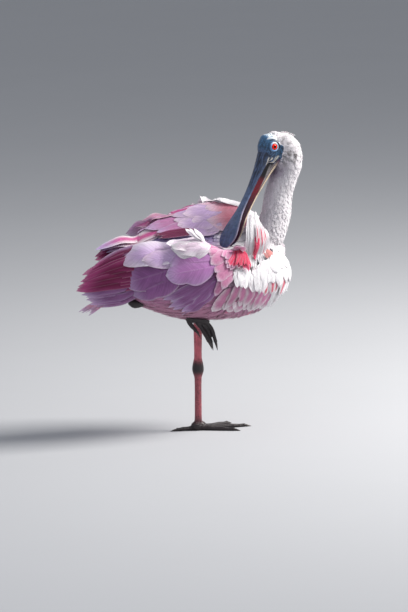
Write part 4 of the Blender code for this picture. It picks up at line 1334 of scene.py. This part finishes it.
def grow_coat(context, tract, skin):
    """One tract of feathers on the skin."""
    plumage = context.scene.spoonbill_plumage
    points = points_of(skin.data)
    x, _, z = points.T
    here = tract_shares(points, bare_face(points))[tract.name].astype(float)
    share = ease(0.012, 0.036, from_eyes(points)) if tract.name == "head" else ease(-0.05, 0.10, -x)
    long = tract.length[0] + (tract.length[1] - tract.length[0]) * share
    wide = tract.width[0] + (tract.width[1] - tract.width[0]) * share
    if tract.name == "flank":
        covered = ease(0.040, 0.010, x) * ease(0.225, 0.240, z)
        long = long * (1.0 - 0.35 * covered)
    size = np.stack([wide, long, long], axis=1)
    streak = np.zeros(len(points))
    if tract.name == "breast":
        streak = ease(0.56, 0.62, cloud(points * (1.0, 1.0, 0.6), 62.0)) * ease(0.288, 0.276, z)
    rings, around = {"head": (4, 4), "neck": (5, 4)}.get(tract.name, (6, 6))
    kinds = []
    for k, (point, curl, cup) in enumerate(SMALL_FORMS):
        sharp = float(np.clip(tract.point + point, 0.0, 1.0))
        kinds.append(vane_template(f"{tract.name}_feather_{k}", rings, around, sharp, curl, cup, 0.005))
    piece = grow(
        "coat_" + tract.name, skin, kinds,
        (("here", "FLOAT", here), ("size", "FLOAT_VECTOR", size), ("streak", "FLOAT", streak)), {
            "Tract": "here",
            "Spacing": tract.spacing,
            "Lift": 0.10,
            "Lift spread": 0.05,
            "Tip height": tract.height,
            "Free": tract.free,
            "Turn spread": 0.16,
            "Size spread": 0.14,
            "Seed": context.scene.spoonbill_stage.frame_seed,
            "Finish": plumage_material(tract.name + "_feathers", plumage, tract.rim, tract.barbs),
        })
    for item in kinds:
        discard(item)
    return settle(piece, tract.slot)


def draped(line, facing, tree, rise):
    """A feather's middle line laid over the body, with the way that its flat side faces."""
    line = line.copy()
    steps = len(line)
    faces = np.empty_like(line)
    for _ in range(2):
        for k, point in enumerate(line):
            place, normal, _, gap = tree.find_nearest(Vector(point))
            normal = np.array(normal)
            share = k / (steps - 1)
            wanted = rise[0] + (rise[1] - rise[0]) * share
            height = (point - np.array(place)) @ normal
            near = 1.0 - float(ease(0.006, 0.022, np.array(gap)))
            if height < wanted and gap < 0.03:
                line[k] = point + normal * (wanted - height)
            elif near > 0.0 and share < 0.6:
                line[k] = point + normal * (wanted - height) * near * 0.8
            faces[k] = unit(normal * near * 0.75 + facing * (1.0 - 0.5 * near))
        for _ in range(3):
            line[1:-1] = 0.5 * line[1:-1] + 0.25 * (line[:-2] + line[2:])
    for _ in range(4):
        faces[1:-1] = unit(0.5 * faces[1:-1] + 0.25 * (faces[:-2] + faces[2:]))
    return line, faces


def pressed(sheet, over, sag, tree, rise):
    """A vane's middle sheet laid on the skin where it is near, with the way that each point faces."""
    steps, across = sheet.shape[:2]
    laid = sheet.copy()
    up = np.repeat(over[:, None], across, axis=1)
    for row in range(steps):
        wanted = COAT_TOP + rise[0] + (rise[1] - rise[0]) * row / (steps - 1)
        for column in range(across):
            place, normal, _, gap = tree.find_nearest(Vector(sheet[row, column]))
            near = 1.0 - float(ease(PRESS_NEAR, PRESS_FAR, np.array(gap)))
            target = np.array(place) + np.array(normal) * (wanted + sag[row, column])
            laid[row, column] = sheet[row, column] * (1.0 - near) + target * near
            up[row, column] = np.array(normal) * near + up[row, column] * (1.0 - near)
    for _ in range(3):
        laid[1:-1] = 0.5 * laid[1:-1] + 0.25 * (laid[:-2] + laid[2:])
        up[1:-1] = 0.5 * up[1:-1] + 0.25 * (up[:-2] + up[2:])
    return laid, unit(up)


class Bundle:
    """Large feathers gathered for one mesh."""

    def __init__(self):
        self.points, self.faces, self.uv, self.tint, self.tone, self.patch = [], [], [], [], [], []
        self.count = 0

    def quill(self, line, faces, width, colours, style, torn, random, root_uv, tree, rise):
        """One closed vane along a line, pressed on the body as far as it is near."""
        steps = len(line)
        v = np.linspace(0.0, 1.0, steps)
        ahead = unit(np.gradient(line, axis=0))
        side = unit(np.cross(ahead, faces))
        over = np.cross(side, ahead)
        c, s = math.cos(QUILL_TWIST), math.sin(QUILL_TWIST)
        side, over = side * c + over * s, over * c - side * s
        half = vane_outline(v, 0.15) * width
        edges = np.stack([half, half], axis=1)
        ruffle = np.zeros((steps, 2))
        for edge in (0, 1):
            edges[:, edge] *= 1.0 + 0.05 * np.sin(v * random.uniform(8.0, 16.0) + random.uniform(0.0, 6.0))
            for _ in range(random.poisson(3.0 * torn)):
                middle = random.uniform(0.35, 0.97)
                edges[:, edge] *= 1.0 - random.uniform(0.15, 0.5) * bell(v, middle, 0.022)
            wave = np.sin(v * random.uniform(5.0, 12.0) + random.uniform(0.0, 6.0))
            ruffle[:, edge] = 0.05 * width * wave * torn
        place = QUILL_TOP[None, :]
        reach = np.where(place < 0.0, edges[:, :1], edges[:, 1:]) * place
        sag = (np.where(place < 0.0, ruffle[:, :1], ruffle[:, 1:]) - QUILL_CUP * width) * place ** 2
        thick = QUILL_THICKNESS * (1.0 - 0.75 * np.abs(place) ** 0.7) * (1.0 - 0.55 * v[:, None])
        ridge = 0.00018 * bell(place, 0.0, 0.2) * (1.0 - v[:, None])
        sheet = line[:, None] + side[:, None] * reach[..., None] + over[:, None] * sag[..., None]
        sheet, up = pressed(sheet, over, sag, tree, rise)
        top = sheet + up * (thick + ridge)[..., None]
        under = sheet - up * thick[..., None]
        rings = np.concatenate([top, under[:, -2:0:-1]], axis=1)
        size = rings.shape[1]
        self.faces.extend(tube_faces(steps, size, self.count))
        self.count += steps * size
        self.points.append(rings.reshape(-1, 3))
        spot = np.broadcast_to(QUILL_ROUND, (steps, size))
        along = np.broadcast_to(v[:, None], spot.shape)
        self.tint.append(self.vane_colours(np.abs(spot), along, colours, style, random))
        self.uv.append(np.stack([0.5 + 0.5 * spot, along], axis=2).reshape(-1, 2))
        self.tone.append(np.full(steps * size, random.uniform(0.0, 1.0)))
        self.patch.append(np.broadcast_to(root_uv, (steps * size, 2)))

    def vane_colours(self, across, along, colours, style, random):
        """Middle, edge and tip of one vane, a little darker or lighter than the next one's."""
        core, edge, tip = colours
        spread = style.spread
        wave = 0.5 + 0.5 * np.sin(along * 24.0 + random.uniform(0.0, 6.0))
        outside = ease(0.15 * spread, 1.25 * spread, across + (0.15 * wave - 0.10) * spread)
        if spread < 0.6:
            first = random.uniform(0.05, 0.5) if random.uniform() < style.streaks else 1.2
            shown = ease(first, first + 0.1, along) * ease(first + 0.6, first + 0.4, along)
            outside = np.maximum(outside, 1.0 - shown)
        painted = mix(core, edge, outside * style.share)
        painted = mix(painted, tip, ease(style.fade, 1.0, along) * 0.85)
        return np.clip(painted * random.uniform(0.90, 1.08), 0.0, 1.0).reshape(-1, 3)

    def piece(self, name, finish):
        """The gathered feathers as one object."""
        mesh = bpy.data.meshes.new(name)
        mesh.from_pydata(np.concatenate(self.points).tolist(), [], self.faces)
        face_outward(mesh)
        store(mesh, "tint", "FLOAT_COLOR", np.concatenate(self.tint))
        store(mesh, "tone", "FLOAT", np.concatenate(self.tone))
        vane = np.concatenate(self.uv)
        lay_out(mesh, "vane", vane)
        lay_out(mesh, "OFBake", np.concatenate(self.patch) + (vane - 0.5) * PATCH)
        return new_object(name, mesh, finish, crisp=True)


def skin_places(skin):
    """A search tree over the skin with the first corner of each face on its unwrap."""
    mesh = skin.data
    rows = np.empty(len(mesh.loops) * 2, np.float32)
    mesh.uv_layers["skin_map"].data.foreach_get("uv", rows)
    starts = np.empty(len(mesh.polygons), np.int64)
    mesh.polygons.foreach_get("loop_start", starts)
    return search_tree(mesh), rows.reshape(-1, 2)[starts]


def fan_ends(node, fan):
    """Places of a fan's first and last root and tip, of which the crest's are in the head's own frame."""
    ends = np.array((fan.roots, fan.tips), float) * MILLIMETRE
    return from_head(*ends.transpose(2, 0, 1)) if node == "crest" else ends


def lay_fans(context, node, skin):
    """Every fan of large feathers that stands for one solid."""
    plumage = context.scene.spoonbill_plumage
    random = np.random.default_rng(context.scene.spoonbill_stage.frame_seed + sum(map(ord, node)))
    solids = joined_nodes(FLESH)
    body = search_tree(solids)
    bpy.data.meshes.remove(solids)
    skin_tree, skin_uv = skin_places(skin)
    bundle = Bundle()
    s = np.linspace(0.0, 1.0, QUILL_RINGS)[:, None]
    for fan in FANS[node]:
        roots, tips = fan_ends(node, fan)
        style = STYLES[fan.style]
        colours = [np.array(getattr(plumage, name)) for name in style[:3]]
        facing = unit(np.array(fan.facing, float))
        for k in range(fan.count):
            t = k / max(fan.count - 1, 1)
            root = roots[0] * (1 - t) + roots[1] * t
            tip = tips[0] * (1 - t) + tips[1] * t
            bow = facing * np.linalg.norm(tip - root) * 0.05
            root = root + random.normal(0.0, QUILL_STRAY, 3)
            short = 0.97 if fan.count < 4 else 0.89
            tip = root + (tip - root) * random.uniform(short, 1.02) + random.normal(0.0, QUILL_STRAY, 3)
            arch = (fan.arch[0] * (1 - t) + fan.arch[1] * t) * MILLIMETRE
            line = root * (1 - s) + tip * s + (bow + UP * arch) * np.sin(s * math.pi)
            rise = [place * MILLIMETRE + QUILL_STEP * (k % 2) for place in fan.rise]
            line, faces = draped(line, facing, body, rise)
            face = skin_tree.find_nearest(Vector(root))[2]
            width = fan.width * MILLIMETRE * random.uniform(0.92, 1.08)
            bundle.quill(line, faces, width, colours, style, fan.ragged, random, skin_uv[face],
                         skin_tree, rise)
    finish = plumage_material(node + "_vanes", plumage, 0.12 if "primaries" in node else 0.30, 60.0)
    slots = {item["node"]: item["material_slot"] for item in frame["record"]["subparts"]}
    replaced = [node] if node in slots else []
    return settle(bundle.piece("feathers_" + node, finish), slots.get(node, "white_plumage"), *replaced)


def eye_piece(context, side):
    """An eyeball with its cornea, iris and pupil, looking out to its side."""
    sign = 1.0 if side == "left" else -1.0
    face = context.scene.spoonbill_face
    out = HEAD_LEFT * sign
    shape = bmesh.new()
    bmesh.ops.create_uvsphere(shape, u_segments=64, v_segments=64, radius=EYE_RADIUS)
    aim = Vector((0.0, 0.0, 1.0)).rotation_difference(Vector(out)).to_matrix().to_4x4()
    place = Matrix.Translation(HEAD_MIDDLE + out * EYE_OFFSET)
    bmesh.ops.transform(shape, verts=shape.verts, matrix=place @ aim)
    mesh = poured(shape, bpy.data.meshes.new("eye_" + side))
    points = points_of(mesh)
    out, axial, radial = round_lids(points, sign)
    gaze = np.where(axial > 0.0, radial, EYE_RADIUS)
    bulge = 0.0004 * (1.0 - ease(0.0, face.iris, gaze))
    move_points(mesh, points + out * bulge[:, None])
    store(mesh, "gaze", "FLOAT", gaze)
    piece = new_object("eyeball_" + side, mesh, eye_material("eye_" + side, face))
    return settle(piece, "eye", "eye_" + side)


# What is known of each point of a bill half: place along and to the left, place from edge to edge, with
# its sign and without, whether it is on top, half the height there, and how far it is from the edges
BillPoint = namedtuple("BillPoint", "far left across share top thick inward")


def upper_half(face, at, up, middle):
    """Heights and colours of the upper half: ridges and nostrils at its base, grooves and waves."""
    far, share, inward = at.far, at.share, at.inward
    base = 1.0 - ease(0.060, 0.110, far)
    grain = np.stack([np.broadcast_to(far * 70.0, up.shape), at.left * 560.0, up * 300.0], axis=2)
    lines = cloud(grain.reshape(-1, 3), 1.0, 4.0).reshape(up.shape)
    ridges = 0.0005 * base * (lines - 0.5) * inward
    groove = -0.0006 * bell(share, 0.72, 0.07) * (1.0 - ease(0.150, 0.175, far))
    keel = 0.0008 * bell(share, 0.0, 0.22) * (1.0 - ease(0.030, 0.090, far))
    nostril = -0.0016 * bell(share, 0.46, 0.07) * bell(far, 0.031, 0.0055)
    spoon = 0.0004 * np.sin(far * 900.0) * bell(share, 0.5, 0.25) * ease(0.135, 0.150, far)
    hollow = 0.35 * at.thick * inward * (1.0 - 0.5 * ease(0.13, 0.16, far))
    up = up + np.where(at.top, ridges + groove + keel + nostril + spoon, hollow)
    slate = np.array(face.slate)
    stain = ease(0.42, 0.58, lines) * (0.25 + 0.75 * base)
    painted = mix(slate, slate * 0.16, stain * 0.85)
    pale = ease(0.055, 0.100, far) * (1.0 - ease(0.140, 0.165, far))
    painted = mix(painted, PAINT["shaft of the bill"], pale * 0.6)
    edge = ease(0.86, 0.98, share) * ease(0.090, 0.125, far)
    painted = mix(painted, PAINT["rim of the spoon"], edge * 0.6)
    hole = bell(share, 0.46, 0.06) * bell(far, 0.031, 0.005)
    painted = mix(painted, PAINT["nostril"], np.clip(hole * 1.3, 0.0, 1.0))
    # Painted shade: the sides darker near the base.
    painted = mix(painted, slate * 0.3, ease(0.74, 0.92, share) * base * 0.6)
    painted = mix(painted, face.bill_inside, np.where(at.top, 0.0, 0.75) * inward)
    strokes = gape_strokes(np.broadcast_to(far, up.shape), at.left, up + middle)
    return up, mix(painted, PAINT["gape"], strokes * ease(0.72, 0.84, share))


def lower_half(face, at, up):
    """Heights and colours of the lower half: trough and teeth inside, fine ridges outside."""
    far, share, inward = at.far, at.share, at.inward
    trough = 0.72 * at.thick * inward
    teeth = 0.00018 * np.sin(far * 2100.0) * bell(share, 0.80, 0.06)
    ridges = 0.00025 * np.sin(far * 1100.0 + 3.0 * share) * (1.0 - ease(0.070, 0.120, far)) * inward
    up = up + np.where(at.top, teeth - trough, ridges)
    outside = mix(PAINT["lower bill"], np.array(face.slate) * 0.8, ease(0.110, 0.165, far))
    throat = mix(face.bill_inside, PAINT["mouth"], ease(0.040, 0.055, far) * ease(0.110, 0.070, far))
    # Painted shade deep in the mouth, near the gape.
    throat = mix(throat, PAINT["deep mouth shade"], ease(0.060, 0.044, far))
    line = -0.10 + 0.90 * ease(0.018, 0.066, far)
    band = ease(-0.10, 0.10, at.across - line) * ease(0.074, 0.056, far)
    throat = mix(throat, PAINT["mouth band"], band * 0.9)
    stripe = bell(at.across, line, 0.14) * ease(0.078, 0.060, far)
    throat = mix(throat, PAINT["mouth stripe"], stripe)
    painted = mix(outside, throat, at.top * (1.0 - ease(0.80, 0.92, share)))
    edge = ease(0.86, 0.98, share) * (1.0 - ease(0.165, 0.182, far)) * ease(0.012, 0.030, far)
    near_base = 0.35 + 0.60 * ease(0.070, 0.035, far)
    return up, mix(painted, face.bill_edge, edge * np.where(at.left < 0.0, near_base, 1.0))


def bill_piece(context, name, sections, upper):
    """One half of the bill with its ridges, grooves and edges."""
    face = context.scene.spoonbill_face
    along, half_width, middle, half_height = (
        rows[:, None] for rows in between(sections, np.linspace(0.0, 1.0, BILL_RINGS)).T)
    angle = 2.0 * math.pi * np.arange(BILL_POINTS) / BILL_POINTS
    c, s = np.cos(angle), np.sin(angle)
    across = np.sign(c) * np.abs(c) ** (2.0 / BILL_FULLNESS)
    over = np.sign(s) * np.abs(s) ** (2.0 / BILL_FULLNESS)
    up = half_height * over
    share = np.abs(np.broadcast_to(across, up.shape))
    top = np.broadcast_to(over > 0.0, up.shape)
    at = BillPoint(along, half_width * across, across, share, top, half_height, 1.0 - share ** 2)
    if upper:
        up, painted = upper_half(face, at, up, middle)
        closer = 0.0
    else:
        up, painted = lower_half(face, at, up)
        closer = BILL_CLOSING * ease(0.010, 0.040, along) * ease(0.175, 0.130, along)
    mesh = ring_mesh(name, from_head(np.broadcast_to(along, up.shape), at.left, up + middle + closer))
    store(mesh, "tint", "FLOAT_COLOR", np.clip(painted, 0.0, 1.0).reshape(-1, 3))
    flat = np.stack([np.broadcast_to(rows, up.shape) for rows in (angle / math.tau, along * 10.0)], axis=2)
    lay_out(mesh, "along_bill", flat.reshape(-1, 2))
    piece = new_object("horn_" + name, mesh, bill_material(name + "_horn"))
    return settle(piece, "bill_horn", name)


def leg_piece(context, side, nodes):
    """The scaled skin of one leg with its toes, in one surface."""
    legs = context.scene.spoonbill_legs
    mesh = voxelled(joined_nodes(nodes, SWELL), LEG_VOXEL)
    points = smoothed(points_of(mesh), edges_of(mesh), 10)
    points[:, 2] = np.maximum(points[:, 2], 0.0)
    move_points(mesh, points)
    normals = normals_of(mesh)
    x, y, z = points.T
    if side == "left":
        out = np.hypot(x, y)
        on_toe = (1.0 - ease(0.014, 0.020, z)) * ease(0.008, 0.014, out)
        place = z * (1.0 - on_toe) + out * on_toe
        front = np.where(on_toe > 0.5, ease(0.0, 0.5, normals[:, 2]), ease(-0.2, 0.5, normals[:, 0]))
        dark = np.maximum(1.0 - ease(0.010, 0.030, z), np.exp(-((z - 0.107) / 0.012) ** 4))
        red = mix(np.array(legs.red) * 0.55, legs.red, ease(0.115, 0.135, z))
    else:
        place = np.linalg.norm(points - TUCKED_FOOT, axis=1)
        front = 0.8
        dark = np.ones(len(points))
        red = legs.red
    saw = np.abs((place / legs.scute) % 1.0 - 0.5) * 2.0
    groove = ease(0.72, 1.0, saw) * front
    lift = np.where(z < 0.0005, 0.0, 1.0) if side == "left" else 1.0
    points = points - normals * (groove * legs.groove * lift)[:, None]
    points[:, 2] = np.maximum(points[:, 2], 0.0)
    move_points(mesh, points)
    painted = mix(red, legs.dark, dark)
    painted = mix(painted, np.array(legs.dark) * 0.5, groove * 0.6)
    store(mesh, "tint", "FLOAT_COLOR", painted)
    piece = new_object("leg_" + side, mesh, leg_material("leg_scales_" + side))
    return settle(piece, "leg_skin" if side == "left" else "foot_skin", *nodes)


def claw_piece(node):
    """One claw, rounded from its solid."""
    mesh = joined_nodes((node,))
    shape = shape_of(mesh)
    bmesh.ops.subdivide_edges(shape, edges=shape.edges, cuts=2, use_grid_fill=True, smooth=0.35)
    bmesh.ops.triangulate(shape, faces=shape.faces)
    poured(shape, mesh)
    points = smoothed(points_of(mesh), edges_of(mesh), 3, 0.35)
    points[:, 2] = np.maximum(points[:, 2], 0.0)
    move_points(mesh, points)
    finish = bpy.data.materials.get("claw_horn_grain") or claw_material("claw_horn_grain")
    return settle(new_object("horn_" + node, mesh, finish), "claw_horn", node)


def aimed(item, place, target):
    """Puts a light at a place, turned to a target."""
    item.location = place
    item.rotation_euler = (Vector(target) - Vector(place)).to_track_quat("-Z", "Y").to_euler()


def soft_light(name, place, target, size, power, colour):
    """A square area light."""
    data = bpy.data.lights.new(name, "AREA")
    data.size = size
    data.energy = power
    data.color = colour
    item = bpy.data.objects.new(name, data)
    bpy.context.scene.collection.objects.link(item)
    aimed(item, place, target)


def build_stage(context):
    """Floor, even surroundings, soft lights and the photograph's camera."""
    stage = context.scene.spoonbill_stage
    shape = bmesh.new()
    bmesh.ops.create_circle(shape, cap_ends=True, segments=96, radius=stage.floor_radius)
    mesh = poured(shape, bpy.data.meshes.new("floor"))
    new_object("floor", mesh, floor_material("pale_floor", stage.floor_colour))
    world = bpy.data.worlds.new("surroundings")
    world.use_nodes = True
    back = world.node_tree.nodes["Background"]
    back.inputs[0].default_value = (0.90, 0.93, 1.0, 1.0)
    back.inputs[1].default_value = stage.sky
    context.scene.world = world
    context.scene.view_settings.view_transform = "Standard"

    heading, rise, roll = stage.heading, stage.elevation, stage.roll
    right = Vector((math.cos(heading), -math.sin(heading), 0.0))
    away = Vector((math.sin(heading), math.cos(heading), 0.0))
    look = away * math.cos(rise) - Vector((0.0, 0.0, math.sin(rise)))
    up = Vector((0.0, 0.0, math.cos(rise))) + away * math.sin(rise)
    target = right * AIM_RIGHT + up * AIM_UP
    data = bpy.data.cameras.new("photo_view")
    data.sensor_width = SENSOR
    data.sensor_height = SENSOR
    data.lens = SENSOR * stage.distance / stage.frame_height
    data.clip_end = 4.0 * stage.floor_radius
    camera = bpy.data.objects.new("photo_view", data)
    context.scene.collection.objects.link(camera)
    x_axis = right * math.cos(roll) - up * math.sin(roll)
    y_axis = right * math.sin(roll) + up * math.cos(roll)
    turned = Matrix((x_axis, y_axis, -look)).transposed().to_4x4()
    camera.matrix_world = Matrix.Translation(target - look * stage.distance) @ turned
    context.scene.camera = camera

    middle = Vector((0.0, 0.0, 0.25))
    soft_light("key", middle + right * 2.2 + away * 0.2 + Vector((0, 0, 2.0)), middle, 1.2,
               stage.key_power, (1.0, 0.97, 0.93))
    soft_light("fill", middle - right * 1.4 - away * 2.6 + Vector((0, 0, 1.3)), middle, 2.6,
               stage.fill_power, (0.88, 0.90, 1.0))


def skin_of():
    """The finished skin that the feathers grow from."""
    skin = bpy.data.objects.get("body_skin")
    if skin is None:
        raise RuntimeError("make the skin before its feathers")
    return skin


class SPOONBILL_OT_skin(bpy.types.Operator):
    """Make the skin of body, neck and head"""

    bl_idname = "spoonbill.skin"
    bl_label = "Skin"

    def execute(self, context):
        skin = body_skin(context)
        settle(skin, "pink_plumage", *FLESH)
        return {"FINISHED"}


class SPOONBILL_OT_eyes(bpy.types.Operator):
    """Make both eyes"""

    bl_idname = "spoonbill.eyes"
    bl_label = "Eyes"

    def execute(self, context):
        for side in ("left", "right"):
            eye_piece(context, side)
        return {"FINISHED"}


class SPOONBILL_OT_bill(bpy.types.Operator):
    """Make both halves of the bill"""

    bl_idname = "spoonbill.bill"
    bl_label = "Bill"

    def execute(self, context):
        bill_piece(context, "bill_upper", UPPER_BILL, True)
        bill_piece(context, "bill_lower", LOWER_BILL, False)
        return {"FINISHED"}


class SPOONBILL_OT_legs(bpy.types.Operator):
    """Make the scaled skin of both legs"""

    bl_idname = "spoonbill.legs"
    bl_label = "Legs"

    def execute(self, context):
        leg_piece(context, "left", LEG_LEFT)
        leg_piece(context, "right", LEG_RIGHT)
        return {"FINISHED"}


class SPOONBILL_OT_claws(bpy.types.Operator):
    """Make every claw"""

    bl_idname = "spoonbill.claws"
    bl_label = "Claws"

    def execute(self, context):
        for side in ("left", "right"):
            for toe in TOES:
                claw_piece(f"claw_{toe}_{side}")
        return {"FINISHED"}


class SPOONBILL_OT_coat(bpy.types.Operator):
    """Grow the small feathers of head, neck, breast, back, flanks and belly"""

    bl_idname = "spoonbill.coat"
    bl_label = "Small feathers"

    def execute(self, context):
        skin = skin_of()
        for tract in TRACTS:
            grow_coat(context, tract, skin)
        return {"FINISHED"}


class SPOONBILL_OT_fans(bpy.types.Operator):
    """Lay the large feathers of wings, shoulders, crown, breast and tail"""

    bl_idname = "spoonbill.fans"
    bl_label = "Large feathers"

    def execute(self, context):
        skin = skin_of()
        for node in FANS:
            lay_fans(context, node, skin)
        return {"FINISHED"}


class SPOONBILL_OT_stage(bpy.types.Operator):
    """Make the floor, the lights and the camera"""

    bl_idname = "spoonbill.stage"
    bl_label = "Stage"

    def execute(self, context):
        build_stage(context)
        return {"FINISHED"}


STEPS = (SPOONBILL_OT_stage, SPOONBILL_OT_skin, SPOONBILL_OT_eyes, SPOONBILL_OT_bill, SPOONBILL_OT_legs,
         SPOONBILL_OT_claws, SPOONBILL_OT_coat, SPOONBILL_OT_fans)
SETTINGS = (
    ("spoonbill_plumage", SpoonbillPlumage),
    ("spoonbill_face", SpoonbillFace),
    ("spoonbill_legs", SpoonbillLegs),
    ("spoonbill_stage", SpoonbillStage),
)


class SPOONBILL_PT_looks(bpy.types.Panel):
    """Steps and settings of the spoonbill's looks"""

    bl_label = "Spoonbill"
    bl_idname = "SPOONBILL_PT_looks"
    bl_space_type = "VIEW_3D"
    bl_region_type = "UI"
    bl_category = "Spoonbill"

    def draw(self, context):
        for name, kind in SETTINGS:
            box = self.layout.box()
            box.label(text=kind.__doc__)
            for field in kind.__annotations__:
                box.prop(getattr(context.scene, name), field)
        for step in STEPS:
            self.layout.operator(step.bl_idname)


def register():
    """Registers settings, steps and panel."""
    for name, kind in SETTINGS:
        bpy.utils.register_class(kind)
        setattr(bpy.types.Scene, name, bpy.props.PointerProperty(type=kind))
    for kind in STEPS + (SPOONBILL_PT_looks,):
        bpy.utils.register_class(kind)


def unregister():
    """Takes them all away again."""
    for kind in (SPOONBILL_PT_looks,) + STEPS[::-1]:
        bpy.utils.unregister_class(kind)
    for name, kind in SETTINGS[::-1]:
        delattr(bpy.types.Scene, name)
        bpy.utils.unregister_class(kind)


def main():
    """Makes everything in order."""
    register()
    for step in STEPS:
        group, name = step.bl_idname.split(".")
        getattr(getattr(bpy.ops, group), name)()


if __name__ == "__main__":
    main()
